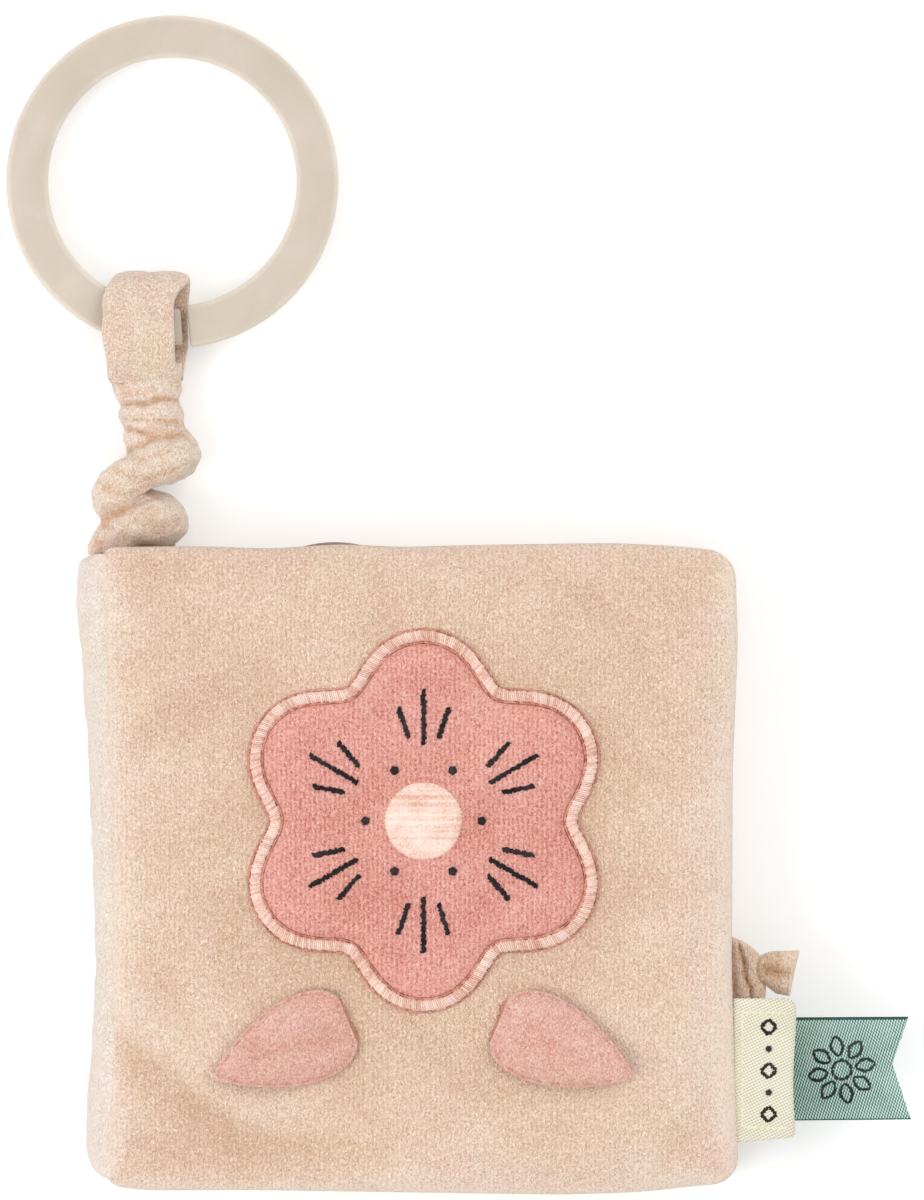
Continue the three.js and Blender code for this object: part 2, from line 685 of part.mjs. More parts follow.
// Wedges that press the label thin at its seam, from above and from below
const creamWedges = [1, -1].map((side) => {
  const wedge = new THREE.Shape();
  const fullZ = creamThickness / 2;
  wedge.moveTo(-overrun, side * creamSeamThickness / 2);
  wedge.lineTo(0, side * creamSeamThickness / 2);
  wedge.lineTo(creamSeamTaper, side * fullZ);
  wedge.lineTo(creamSeamTaper, side * (fullZ + overrun));
  wedge.lineTo(-overrun, side * (fullZ + overrun));
  wedge.closePath();
  const across = creamWidth + 2 * overrun;
  return new THREE.ExtrudeGeometry(wedge, { depth: across, bevelEnabled: false })
    .rotateX(Math.PI / 2)
    .translate(0, across / 2, fullZ);
});
addPiece('cream_label', cut(creamSolid, creamInside, ...creamWedges), materials.creamTape)
  .position.set(creamStartX, creamPlaceY, frontZ - creamThickness / 2);

// Green label: a single tape with a swallowtail end, which comes out from under the cream one
const greenEdge = pageForeX - drawnIn(Math.abs(greenPlaceY) + greenWidth / 2, pageHeight);
const greenStartX = greenEdge + 2 * seat;
const greenReach = greenTip - greenStartX;
const greenOutline = new THREE.Shape();
greenOutline.moveTo(0, -greenWidth / 2);
greenOutline.lineTo(greenReach, -greenWidth / 2);
greenOutline.lineTo(greenReach - greenNotch, 0);
greenOutline.lineTo(greenReach, greenWidth / 2);
greenOutline.lineTo(0, greenWidth / 2);
greenOutline.closePath();
addPiece('green_label', new THREE.ExtrudeGeometry(greenOutline, {
  depth: greenThickness,
  bevelEnabled: false,
}), materials.greenTape).position.set(greenStartX, greenPlaceY, pageZ - greenThickness / 2);

// Strap anchor: the sleeve's flared end, sewn into the back cover's top seam. Its sides stand
// round the sleeve's domed end, up to where the sleeve comes when it swings
const sleeveDomeRadius = sleeveHalfWidth + sleeveSway + sleeveRidge;
const sleeveBottom = sleeveSwingY - sleeveDomeRadius;
const anchorBottom = leafTopY + seat;
const anchorHollowRadius = sleeveDomeRadius + seat;
const anchorTop = sleeveSwingY - anchorHollowRadius * Math.sin(sleeveSwingLimit) - seat;
const anchorShares = [[1, 0.62], [0.96, 0.95], [0.93, 1], [0.95, 0.8]];
function ovalRing(centreX, y, centreZ, halfWidth, halfHeight, sides, ridgeOf = () => 0) {
  const ring = [];
  for (let side = 0; side < sides; side++) {
    const angle = (2 * Math.PI * side) / sides;
    const ridge = ridgeOf(angle);
    ring.push(new THREE.Vector3(
      centreX + (halfWidth + ridge) * Math.cos(angle),
      y,
      centreZ + (halfHeight + ridge) * Math.sin(angle),
    ));
  }
  return ring;
}
const anchorForm = skin(anchorShares.map(([widthShare, thickShare], i) => ovalRing(
  strapAnchorPlaceX,
  anchorBottom + (anchorTop - anchorBottom) * (i / (anchorShares.length - 1)),
  backZ,
  (strapAnchorWidth / 2) * widthShare,
  (strapAnchorThickness / 2) * thickShare,
  sleeveSides,
)));
const anchorHollow = disc(anchorHollowRadius, -overrun, leafThickness + overrun)
  .translate(sleeveSwingX, sleeveSwingY, 0);
addPiece('strap_anchor', cut(anchorForm, anchorHollow), materials.plush);

// Gathered sleeve: its section leans from side to side and its gathers wind round it
function sleeveSection(y, insetBy = 0) {
  const turn = (2 * Math.PI * (y - sleeveSwingY)) / sleevePitch;
  const settleShare = Math.min(Math.max((y - sleeveSplit) / (sleevePitch / 3), 0), 1);
  const swayShare = 1 - settleShare;
  const toLoopShare = Math.min(Math.max((y - sleeveTop + sleevePitch / 2) / (sleevePitch / 2), 0), 1);
  const neck = sleeveNeckHalfWidth + (loopWidth / 2 - sleeveNeckHalfWidth) * toLoopShare ** 2;
  return {
    centreX: strapPlaceX + (sleeveSwingX - strapPlaceX) * swayShare - sleeveSway * swayShare
      * Math.cos(turn),
    halfWidth: sleeveHalfWidth + (neck - sleeveHalfWidth) * settleShare - insetBy,
    halfHeight: sleeveHalfThickness
      + (sleeveNeckHalfThickness - sleeveHalfThickness) * settleShare - insetBy,
    ridgeOf: (angle) => sleeveRidge * Math.cos(2 * angle - turn) * (1 - settleShare / 2),
  };
}

// Lower bulge: it swings in plan, so its lower end is a dome about the swing axis
const lowerStations = 12;
const lowerRings = [];
for (let station = 0; station <= lowerStations; station++) {
  const y = sleeveBottom + (sleeveSplit - 2 * seat - sleeveBottom) * ((station + 0.2)
    / (lowerStations + 0.2));
  const below = Math.max(sleeveSwingY - y, 0);
  const domeShare = Math.sqrt(Math.max(1 - (below / sleeveDomeRadius) ** 2, 0));
  const section = sleeveSection(y);
  const leanShare = domeShare ** 3;
  const upperShare = Math.min((sleeveSplit - y) / (sleeveRidge * 2), 1);
  const endShare = 0.85 + 0.15 * Math.sqrt(Math.max(upperShare, 0));
  lowerRings.push(ovalRing(
    sleeveSwingX + (section.centreX - sleeveSwingX) * leanShare,
    y,
    strapHeight,
    (section.halfWidth + (sleeveSway + sleeveRidge) * (1 - leanShare)) * domeShare * endShare,
    section.halfHeight * Math.max(domeShare, 0.3) * endShare,
    sleeveSides,
    (angle) => section.ridgeOf(angle) * domeShare * leanShare,
  ));
}
addPiece('sleeve_lower', skin(lowerRings), materials.plush);

// Upper sleeve: it lifts on a dome in side view and is hollow for the elastic
const liftRadius = sleeveNeckHalfThickness + sleeveRidge / 2;
const liftY = sleeveSplit + liftRadius;
const upperStations = 12;
const upperOuter = [];
const upperInner = [];
const boreHalfWidth = elasticWidth / 2 + elasticPlay;
const boreHalfHeight = elasticThickness / 2 + elasticPlay;
for (let station = 0; station <= upperStations; station++) {
  const share = station / upperStations;
  const y = sleeveSplit + (sleeveTop - sleeveSplit) * share;
  const below = Math.max(liftY - y, 0);
  const domeShare = Math.max(Math.sqrt(Math.max(1 - (below / liftRadius) ** 2, 0)), 0.45);
  const section = sleeveSection(y);
  upperOuter.push(ovalRing(section.centreX, y, strapHeight, section.halfWidth * (0.85 + 0.15
    * domeShare), section.halfHeight * domeShare, sleeveSides,
  (angle) => section.ridgeOf(angle) * domeShare ** 2));
  upperInner.push(ovalRing(strapPlaceX, y, strapHeight, boreHalfWidth, boreHalfHeight,
    sleeveSides));
}
const upperEnds = [upperInner[0], upperInner[upperStations]];
addPiece('sleeve_upper', skin([...upperOuter, upperEnds[1], upperEnds[0]], true),
  materials.plush);
const elasticLength = sleeveTop - sleeveSplit;
addPiece('strap_elastic', new THREE.BoxGeometry(elasticWidth, elasticLength, elasticThickness),
  materials.elastic).position.set(strapPlaceX, (sleeveTop + sleeveSplit) / 2, strapHeight);

// Strap loop: cloth that goes over the ring and back under it, seen from the side
const ringBottomY = ringPlaceY - ringRadius;
const loopOffsetX = Math.max(Math.abs(strapPlaceX - loopWidth / 2 - ringPlaceX),
  Math.abs(strapPlaceX + loopWidth / 2 - ringPlaceX));
const holeLow = ringBottomY - loopSlack;
const holeHigh = ringPlaceY - Math.sqrt(ringBoreRadius ** 2 - loopOffsetX ** 2) + loopSlack;
const holeHalf = ringThickness / 2 + loopSlack;
const loopHalf = holeHalf + loopCloth;
const loopTop = holeHigh + loopCloth;
const loopBottom = sleeveTop + seat;
const loopProfile = new THREE.Path();
loopProfile.moveTo(loopBottom, 0);
loopProfile.lineTo(loopBottom, -sleeveNeckHalfThickness);
loopProfile.quadraticCurveTo(loopBottom + loopStem / 2, -sleeveNeckHalfThickness + loopCrease,
  loopBottom + loopStem, -loopHalf + loopCrease);
loopProfile.quadraticCurveTo(holeLow, -loopHalf, holeLow + loopHalf / 2, -loopHalf);
loopProfile.lineTo(loopTop - loopHalf, -loopHalf);
loopProfile.absarc(loopTop - loopHalf, 0, loopHalf, -Math.PI / 2, Math.PI / 2);
loopProfile.lineTo(holeLow + loopHalf / 2, loopHalf);
loopProfile.quadraticCurveTo(holeLow, loopHalf, loopBottom + loopStem, loopHalf - loopCrease);
loopProfile.quadraticCurveTo(loopBottom + loopStem / 2, sleeveNeckHalfThickness - loopCrease,
  loopBottom, sleeveNeckHalfThickness);
loopProfile.closePath();
const loopHole = new THREE.Path();
loopHole.moveTo(holeLow, 0);
loopHole.lineTo(holeLow, -holeHalf);
loopHole.lineTo(holeHigh - holeHalf, -holeHalf);
loopHole.absarc(holeHigh - holeHalf, 0, holeHalf, -Math.PI / 2, Math.PI / 2);
loopHole.lineTo(holeLow, holeHalf);
loopHole.closePath();

// Rings of the loop's profile across the strap: the outer edges are rounded, the hole is not
function loopRing(path, x, trim) {
  const scale = 1 - trim / loopHalf;
  const middleY = (holeLow + holeHigh) / 2;
  return path.getSpacedPoints(loopSteps).slice(0, -1).map((point) => new THREE.Vector3(
    x,
    middleY + (point.x - middleY) * (1 - trim / (loopTop - middleY)),
    point.y * scale,
  ));
}
const loopSide = loopWidth / 2;
const loopStations = [[-loopSide, loopRound], [-loopSide + loopRound / 3, loopRound / 3],
  [-loopSide + loopRound, 0], [0, 0], [loopSide - loopRound, 0],
  [loopSide - loopRound / 3, loopRound / 3], [loopSide, loopRound]];
const loopGeometry = skin([
  ...loopStations.map(([x, trim]) => loopRing(loopProfile, x, trim)),
  ...[loopSide, 0, -loopSide].map((x) => loopRing(loopHole, x, 0)),
], true);
addPiece('strap_loop', loopGeometry, materials.plush).position.set(strapPlaceX, 0, strapHeight);

// Plastic ring: an open hoop whose one end is a slimmer tongue
const ringMiddle = (ringRadius + ringBoreRadius) / 2;
const ringHalfWidth = (ringRadius - ringBoreRadius) / 2;
const ringHalfHeight = ringThickness / 2;
const splitAngle = Math.PI * ringSplitShare;
const splitHalf = ringSplit / 2 / ringMiddle;
const ringStart = splitAngle + splitHalf;
const ringSweep = 2 * Math.PI - 2 * splitHalf;
const tongueSweep = ringTongue / ringMiddle;
function ringSection(angle, trim) {
  const halfWidth = ringHalfWidth - trim;
  const halfHeight = ringHalfHeight - trim;
  const corner = ringCorner - trim;
  const section = [];
  for (const [out, up] of [[1, 1], [-1, 1], [-1, -1], [1, -1]]) {
    const cuts = out * up > 0 ? [[0, 1], [0.3, 0.3], [1, 0]] : [[1, 0], [0.3, 0.3], [0, 1]];
    for (const [acrossShare, downShare] of cuts) {
      const radius = ringMiddle + out * (halfWidth - corner * acrossShare);
      const z = up * (halfHeight - corner * downShare);
      section.push(new THREE.Vector3(radius * Math.cos(angle), radius * Math.sin(angle), z));
    }
  }
  return section;
}
const ringRings = [];
for (let step = 0; step <= ringSteps; step++) {
  ringRings.push(ringSection(ringStart + (ringSweep - tongueSweep) * (step / ringSteps), 0));
}
const tongueStart = ringStart + ringSweep - tongueSweep;
for (const share of [0.04, 0.85]) {
  ringRings.push(ringSection(tongueStart + tongueSweep * share, ringTongueStep));
}
ringRings.push(ringSection(tongueStart + tongueSweep, 2 * ringTongueStep));
addPiece('ring', skin(ringRings), materials.ring).position.set(ringPlaceX, ringPlaceY, strapHeight);

export default book;
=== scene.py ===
"""Looks of a soft activity book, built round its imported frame.

The frame and every object are in metres. The numbers below are in millimetres, in the same
frame: X from the spine to the fore edge, Y along the spine towards the strap, Z up.
"""

import math

import bmesh
import bpy
import numpy as np
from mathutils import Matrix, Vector


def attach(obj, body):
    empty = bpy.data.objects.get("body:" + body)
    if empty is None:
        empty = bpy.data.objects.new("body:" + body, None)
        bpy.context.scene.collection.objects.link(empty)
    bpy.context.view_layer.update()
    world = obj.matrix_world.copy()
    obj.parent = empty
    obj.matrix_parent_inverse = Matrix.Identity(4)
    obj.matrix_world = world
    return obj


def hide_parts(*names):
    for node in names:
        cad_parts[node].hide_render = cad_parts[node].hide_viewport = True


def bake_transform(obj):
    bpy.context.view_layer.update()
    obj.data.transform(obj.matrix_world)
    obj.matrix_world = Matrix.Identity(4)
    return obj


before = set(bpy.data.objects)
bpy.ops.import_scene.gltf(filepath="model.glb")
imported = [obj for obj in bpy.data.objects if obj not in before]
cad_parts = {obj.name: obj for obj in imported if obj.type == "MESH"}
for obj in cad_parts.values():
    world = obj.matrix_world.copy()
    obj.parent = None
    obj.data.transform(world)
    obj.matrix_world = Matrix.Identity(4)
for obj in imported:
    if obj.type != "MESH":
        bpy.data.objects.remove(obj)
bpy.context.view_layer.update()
scene = bpy.context.scene
MM = 0.001
TURN = 2 * math.pi

# Camera, lights, floor
PHOTO_HEIGHT = 231.6  # how much of the table the picture's height takes in
PHOTO_X, PHOTO_Y = 10.6, 52.0  # what lies in the middle of the picture
SHARP_PLANE = 18.0  # height at which that holds
LENS, SENSOR = 500.0, 36.0

camera_data = bpy.data.cameras.new("camera")
camera_data.lens = LENS
camera_data.sensor_width = SENSOR
camera_distance = PHOTO_HEIGHT / 2 / (SENSOR / 2 / LENS) + SHARP_PLANE
camera_data.clip_start = 0.1
camera_data.clip_end = 20
camera = bpy.data.objects.new("camera", camera_data)
camera.location = (PHOTO_X * MM, PHOTO_Y * MM, camera_distance * MM)
scene.collection.objects.link(camera)
scene.camera = camera


def linear(red, green, blue):
    """Linear colour of an sRGB one given in 0 to 255."""
    parts = [c / 255 for c in (red, green, blue)]
    return (*[c / 12.92 if c <= 0.04045 else ((c + 0.055) / 1.055) ** 2.4 for c in parts], 1.0)


def dimmed(color, share):
    """A linear colour that is a share of an sRGB one."""
    return (*[share * c for c in linear(*color)[:3]], 1.0)


# Materials
class Nodes:
    """Short names for the nodes that the materials share."""

    def __init__(self, name):
        self.material = bpy.data.materials.new(name)
        self.material.use_nodes = True
        self.tree = self.material.node_tree
        self.shader = self.tree.nodes["Principled BSDF"]
        self.place = self.attribute("rest", "Vector")

    def new(self, kind, **settings):
        node = self.tree.nodes.new(kind)
        for key, value in settings.items():
            setattr(node, key, value)
        return node

    def attribute(self, name, output="Fac"):
        return self.new("ShaderNodeAttribute", attribute_name=name).outputs[output]

    def link(self, value, socket):
        if isinstance(value, bpy.types.NodeSocket):
            self.tree.links.new(value, socket)
        else:
            socket.default_value = value

    def math(self, operation, a, b=0.0, clamp=False):
        node = self.new("ShaderNodeMath", operation=operation, use_clamp=clamp)
        self.link(a, node.inputs[0])
        self.link(b, node.inputs[1])
        return node.outputs[0]

    def total(self, *terms, plus=0.0):
        """A sum of values, each times its weight, and of a constant."""
        result = None
        for value, weight in terms:
            value = self.math("MULTIPLY", value, weight) if weight != 1 else value
            result = value if result is None else self.math("ADD", result, value)
        return self.math("ADD", result, plus) if plus else result

    def stretched(self, size, turn):
        """The rest place in units of so many millimetres each way, turned in plan first."""
        spin = self.new("ShaderNodeMapping", vector_type="POINT")
        spin.inputs["Rotation"].default_value = (0, 0, turn)
        self.link(self.place, spin.inputs["Vector"])
        node = self.new("ShaderNodeMapping", vector_type="POINT")
        node.inputs["Scale"].default_value = [1 / (side * MM) for side in np.broadcast_to(size, 3)]
        self.link(spin.outputs["Vector"], node.inputs["Vector"])
        return node.outputs["Vector"]

    def noise(self, size, detail=2.0, roughness=0.5, distortion=0.0, turn=0.0):
        """Noise with lumps of a size in millimetres, one number or three."""
        node = self.new("ShaderNodeTexNoise")
        node.inputs["Scale"].default_value = 1.0
        node.inputs["Detail"].default_value = detail
        node.inputs["Roughness"].default_value = roughness
        node.inputs["Distortion"].default_value = distortion
        self.link(self.stretched(size, turn), node.inputs["Vector"])
        return node.outputs[0]

    def stripes(self, pitch, distortion, detail_scale, direction="X", turn=0.0):
        """Sine stripes, one for each pitch in millimetres."""
        node = self.new("ShaderNodeTexWave", wave_type="BANDS", bands_direction=direction)
        node.inputs["Scale"].default_value = TURN / 20
        node.inputs["Distortion"].default_value = distortion
        node.inputs["Detail"].default_value = 2.0
        node.inputs["Detail Scale"].default_value = detail_scale
        self.link(self.stretched(pitch, turn), node.inputs["Vector"])
        return node.outputs["Fac"]

    def ramp(self, value, *stops):
        """A colour ramp; colours of three numbers are sRGB in 0 to 255, those of four linear."""
        node = self.new("ShaderNodeValToRGB")
        stops = [(place, linear(*color) if len(color) == 3 else color) for place, color in stops]
        elements = node.color_ramp.elements
        elements[0].position, elements[0].color = stops[0]
        elements[1].position, elements[1].color = stops[-1]
        for position, color in stops[1:-1]:
            elements.new(position).color = color
        self.link(value, node.inputs["Fac"])
        return node.outputs["Color"]

    def mix(self, share, a, b, blend="MIX"):
        node = self.new("ShaderNodeMix", data_type="RGBA", blend_type=blend)
        self.link(share, node.inputs[0])
        self.link(a, node.inputs[6])
        self.link(b, node.inputs[7])
        return node.outputs[2]

    def bump(self, height, distance, strength):
        """A normal tilted by a height of 0 to 1 that stands for a distance in millimetres."""
        node = self.new("ShaderNodeBump")
        node.inputs["Strength"].default_value = strength
        node.inputs["Distance"].default_value = distance * MM
        self.link(height, node.inputs["Height"])
        return node.outputs["Normal"]

    def finish(self, color, normal, roughness, sheen=0.0, tint=(255, 255, 255),
               sheen_roughness=0.4, specular=0.3, metallic=0.0):
        shader = self.shader.inputs
        self.link(color, shader["Base Color"])
        if normal is not None:
            self.link(normal, shader["Normal"])
        self.link(roughness, shader["Roughness"])
        shader["Sheen Weight"].default_value = sheen
        shader["Sheen Roughness"].default_value = sheen_roughness
        shader["Sheen Tint"].default_value = linear(*tint)
        shader["Specular IOR Level"].default_value = specular
        shader["Metallic"].default_value = metallic
        return self.material


WALE = 0.93  # millimetres from one column of the knitted pile to the next


def plush(name, dark, base, light, rib=0.0, sheen=0.7, clump=(0.34, 0.5, 0.34), grain=1.5):
    """Short-pile velour: small tufts, mottled in tone and tint, plus painted light and shade from
    a point attribute.
    """
    nodes = Nodes(name)
    tufts = nodes.noise(clump, 0.0, 0.5, 1.0)
    fibres = nodes.noise((0.19, 0.26, 0.19), 0.0, 0.6)
    mottle = nodes.noise((26, 20, 26), 2.0, 0.45, 0.6)
    patches = nodes.noise((5.5, 7.0, 5.5), 1.0, 0.4, 0.4)
    height = nodes.total((tufts, 0.62), (fibres, 0.38))
    if rib:
        height = nodes.total((height, 1 - rib), (nodes.stripes(WALE, 3.4, 0.7), rib))
    # tone follows the tufts' height: the pile's own mottle, and painted shade between the tufts
    tone = nodes.total((nodes.math("SUBTRACT", height, 0.5), grain), (mottle, 0.26),
                       (patches, 0.06), (nodes.attribute("tone_and_painted_light"), 0.25), plus=0.34)
    color = nodes.ramp(tone, (0.2, dark), (0.5, base), (0.78, light))
    tint = nodes.ramp(nodes.noise((15, 12, 15), 2.0, 0.5, 0.8, turn=0.6),
                      (0.36, (1.0, 0.965, 0.97, 1)), (0.5, (1.0, 0.99, 0.985, 1)),
                      (0.64, (1.0, 0.996, 0.962, 1)))
    color = nodes.mix(1.0, color, tint, "MULTIPLY")
    return nodes.finish(color, nodes.bump(height, 0.6, 0.8), 0.95, sheen, light, 0.4, 0.1)


def woven(name, dark, base, light, pitch, lean, other):
    """Woven label tape: slanting twill lines crossed by fainter ones, darker at its selvedge."""
    nodes = Nodes(name)
    twill, cross = [nodes.stripes(pitch, 0.25, 0.5, turn=slant) for slant in (lean, other)]
    slubs = nodes.noise((0.22, 0.6, 0.6), 2.0, 0.6, turn=lean)
    height = nodes.total((twill, 0.46), (cross, 0.26), (slubs, 0.28))
    tone = nodes.total((height, 0.8), (nodes.noise((9, 7, 9)), 0.2),
                       (nodes.attribute("tone_and_painted_light"), 1))
    color = nodes.ramp(tone, (0.26, dark), (0.46, base), (0.7, light))
    return nodes.finish(color, nodes.bump(height, 0.12, 0.7), 0.75, 0.1, light)


def thread(name, dark, base, light, roughness=0.5, sheen=0.15, specular=0.45):
    """Shiny embroidery thread: twisted filaments, each stitch a little lighter or darker."""
    nodes = Nodes(name)
    filaments = nodes.noise(0.09, 2.0, 0.6)
    stitches = nodes.noise((0.45, 0.45, 2.5), 1.0)
    patches = nodes.noise(6, 1.0)
    tone = nodes.total((filaments, 0.5), (stitches, 0.25), (patches, 0.25),
                       (nodes.attribute("tone_and_painted_light"), 0.1))
    color = nodes.ramp(tone, (0.36, dark), (0.46, base), (0.58, light))
    normal = nodes.bump(filaments, 0.06, 0.5)
    return nodes.finish(color, normal, roughness, sheen, light, 0.4, specular)


def cotton(name, ground, print_color, dot, pitch, second=None):
    """Plain cotton with a printed pattern of soft dots in rows, set half a pitch off."""
    nodes = Nodes(name)
    weave = nodes.math("MULTIPLY", nodes.stripes(0.34, 0.25, 0.5),
                       nodes.stripes(0.34, 0.25, 0.5, "Y"))
    tone = nodes.total((weave, 0.4), (nodes.noise(12, 3.0), 0.6))
    color = nodes.ramp(tone, (0.15, dimmed(ground, 0.9)), (0.6, ground))
    for shift, tint in ((0.0, print_color), (0.5, second or print_color)):
        move = nodes.new("ShaderNodeMapping", vector_type="POINT")
        move.inputs["Location"].default_value = (shift, shift, 0)
        move.inputs["Scale"].default_value = (1 / (pitch * MM), 1 / (pitch * MM), 0)
        nodes.link(nodes.place, move.inputs["Vector"])
        cell = nodes.new("ShaderNodeVectorMath", operation="FRACTION")
        nodes.link(move.outputs["Vector"], cell.inputs[0])
        centre = nodes.new("ShaderNodeVectorMath", operation="DISTANCE")
        nodes.link(cell.outputs[0], centre.inputs[0])
        centre.inputs[1].default_value = (0.5, 0.5, 0)
        wobbly = nodes.total((centre.outputs["Value"], 1), (nodes.noise(1.4, 1.0), 0.06))
        edge = nodes.math("SUBTRACT", dot / pitch, wobbly)
        color = nodes.mix(nodes.math("MULTIPLY", edge, 40.0, clamp=True), color, linear(*tint))
    return nodes.finish(color, nodes.bump(weave, 0.08, 0.5), 0.9, 0.15, (255, 250, 244), 0.5, 0.15)


def smooth_plastic(name, dark, base, light):
    """Moulded plastic with a fine spark-eroded surface, faint flow marks, and paler edges that are
    a painted highlight.
    """
    nodes = Nodes(name)
    grain = nodes.noise(0.35, 2.0, 0.6)
    flow = nodes.noise(14, 3.0, 0.5, 0.5)
    tone = nodes.total((grain, 0.3), (flow, 0.7), (nodes.attribute("tone_and_painted_light"), 0.45))
    color = nodes.ramp(tone, (0.35, dark), (0.6, base), (0.95, light))
    rough = nodes.total((flow, 0.12), plus=0.42)
    return nodes.finish(color, nodes.bump(grain, 0.03, 0.3), rough, specular=0.4)


def wool(name, dark, light):
    """Polyester wadding: a loose tangle of fine fibres."""
    nodes = Nodes(name)
    tangle = nodes.noise((2.2, 0.4, 1.0), 4.0, 0.7, 1.4, turn=0.6)
    other = nodes.noise((0.4, 2.0, 1.0), 4.0, 0.7, 1.4, turn=-0.4)
    height = nodes.math("MAXIMUM", tangle, other)
    color = nodes.ramp(height, (0.4, dark), (0.7, light))
    return nodes.finish(color, nodes.bump(height, 0.8, 0.8), 1.0, 0.3, light, 0.5, 0.1)


def metal(name, base, roughness, crease):
    """Mirror film or metallised foil; crease is the height of its crumples."""
    nodes = Nodes(name)
    folds = nodes.noise(9, 4.0, 0.55, 1.2)
    rough = nodes.total((nodes.noise(3), roughness), plus=roughness)
    color = nodes.ramp(folds, (0.3, dimmed(base, 0.94)), (0.7, base))
    return nodes.finish(color, nodes.bump(folds, crease, 0.6), rough, specular=0.5, metallic=1.0)


def knitted_elastic(name, base):
    """Flat elastic: knitted rows across cords of rubber."""
    nodes = Nodes(name)
    height = nodes.total((nodes.stripes(0.9, 0.2, 0.5, "Y"), 0.5),
                         (nodes.stripes(0.7, 0.1, 0.5), 0.5))
    color = nodes.ramp(height, (0.2, dimmed(base, 0.78)), (0.7, base))
    return nodes.finish(color, nodes.bump(height, 0.15, 0.8), 0.8, 0.1, base)


beige = plush("velour", (202, 163, 135), (228, 197, 173), (249, 230, 214), rib=0.06, grain=1.36)
strap_velour = plush("velour_strap", (211, 172, 140), (233, 204, 181), (251, 238, 226), grain=1.35)
# The spine strip's velour: a paler copy of the cover's, its paleness painted sheen of the spine's
# bowed side
spine_velour_painted_sheen = plush("velour_spine_painted_sheen", (229, 208, 191), (243, 229, 216), (252, 244, 236), sheen=0.5)
coral = plush("velour_coral", (196, 118, 106), (229, 161, 149), (246, 195, 184), rib=0.1,
              sheen=0.4, clump=(0.42, 0.5, 0.42))
coral_light = plush("velour_coral_light", (210, 148, 134), (231, 177, 162), (245, 210, 198),
                    sheen=0.8)
tan = plush("velour_tan", (172, 131, 97), (214, 180, 149), (247, 225, 206), grain=1.0)
satin = thread("satin_stitch", (216, 160, 139), (242, 202, 184), (255, 234, 222))
edge_thread = thread("edge_thread", (176, 106, 88), (204, 140, 120), (224, 170, 152), 0.7, 0.1,
                     0.2)
cream_thread = thread("cream_thread", (206, 202, 164), (228, 224, 190), (242, 240, 214), 0.6, 0.1)
black_thread = thread("black_thread", (10, 9, 10), (22, 19, 21), (66, 57, 59), 0.6, 0.05, 0.2)
green_thread = thread("green_thread", (16, 24, 20), (30, 38, 33), (60, 70, 62), 0.6, 0.05, 0.25)
cream_twill = woven("cream_twill", (197, 190, 164), (220, 214, 191), (244, 240, 223), 0.54, 1.12,
                    -0.5)
green_twill = woven("green_twill", (38, 80, 70), (124, 163, 152), (216, 237, 231), 0.5, 0.31,
                    -0.84)
mauve_cloth = cotton("mauve_cloth", (160, 138, 130), (176, 156, 148), 0.9, 4.0)
lining_dots = cotton("lining_dots", (240, 229, 214), (217, 143, 128), 2.6, 15.0, (150, 193, 179))
page_dots = cotton("page_dots", (238, 214, 196), (250, 240, 228), 2.2, 12.0, (196, 150, 128))
back_dots = cotton("back_dots", (176, 203, 191), (240, 232, 216), 2.4, 13.0, (232, 205, 160))
ring_plastic = smooth_plastic("ring_plastic", (203, 189, 172), (211, 198, 182), (231, 221, 205))
bellows_plastic = smooth_plastic("bellows_plastic", (232, 230, 220), (246, 245, 238),
                                 (246, 245, 238))
wadding_wool = wool("wadding_wool", (222, 222, 222), (250, 250, 250))
mirror_film = metal("mirror_film", (226, 230, 232), 0.05, 0.02)
foil_film = metal("foil_film", (214, 218, 222), 0.22, 0.5)
elastic_cloth = knitted_elastic("elastic_cloth", (245, 243, 238))

# Mesh helpers
made = []


def dress(name, mesh, material, body=None, slot=None, replaces=(), blend=None, pad=None):
    """It rides on a body, or, given blend, has its transform baked into its mesh.
    pad is how full its padding is, from 0 to 1; it is not used.
    """
    mesh.materials.append(material)
    obj = bpy.data.objects.new(name, mesh)
    scene.collection.objects.link(obj)
    made.append(obj)
    if body:
        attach(obj, body)
    if replaces:
        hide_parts(*replaces)
    if blend:
        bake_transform(obj)
    return obj


def piece(name, shape, material, *words, **more):
    """dress() for points in millimetres and faces."""
    points, faces = shape
    mesh = bpy.data.meshes.new(name)
    mesh.from_pydata((np.asarray(points, float) * MM).tolist(), [],
                     [list(map(int, face)) for face in faces])
    mesh.polygons.foreach_set("use_smooth", [True] * len(mesh.polygons))
    mesh.update()
    return dress(name, mesh, material, *words, **more)


def read(mesh, name="co"):
    """A mesh's places, or its normals, three numbers to a row."""
    values = np.zeros(len(mesh.vertices) * 3, np.float32)
    mesh.vertices.foreach_get(name, values)
    return values.reshape(-1, 3).astype(float)


def evaluated(obj):
    """The mesh that an object's modifiers make."""
    return bpy.data.meshes.new_from_object(
        obj.evaluated_get(bpy.context.evaluated_depsgraph_get()))


def stacked(x, y, z):
    """Points from their coordinates, of which some may be one number for all."""
    return np.stack(np.broadcast_arrays(x, y, z), -1)


def around(count):
    """Angles round a circle."""
    return np.linspace(0, TURN, count, endpoint=False)


def polar(x, y, angle, distance):
    """The place that lies at an angle and a distance from another."""
    return np.array([x + distance * math.cos(angle), y + distance * math.sin(angle)])


def grid_faces(rows, columns, start=0, wrap=False, flip=False):
    """Quads between rows of points; wrap joins each row's last point to its first."""
    across = columns if wrap else columns - 1
    row, column = np.meshgrid(np.arange(rows - 1), np.arange(across), indexing="ij")
    after = (column + 1) % columns
    a, b = row * columns + column, row * columns + after
    c, d = (row + 1) * columns + after, (row + 1) * columns + column
    faces = np.stack([a, b, c, d] if not flip else [d, c, b, a], -1).reshape(-1, 4)
    return faces + start


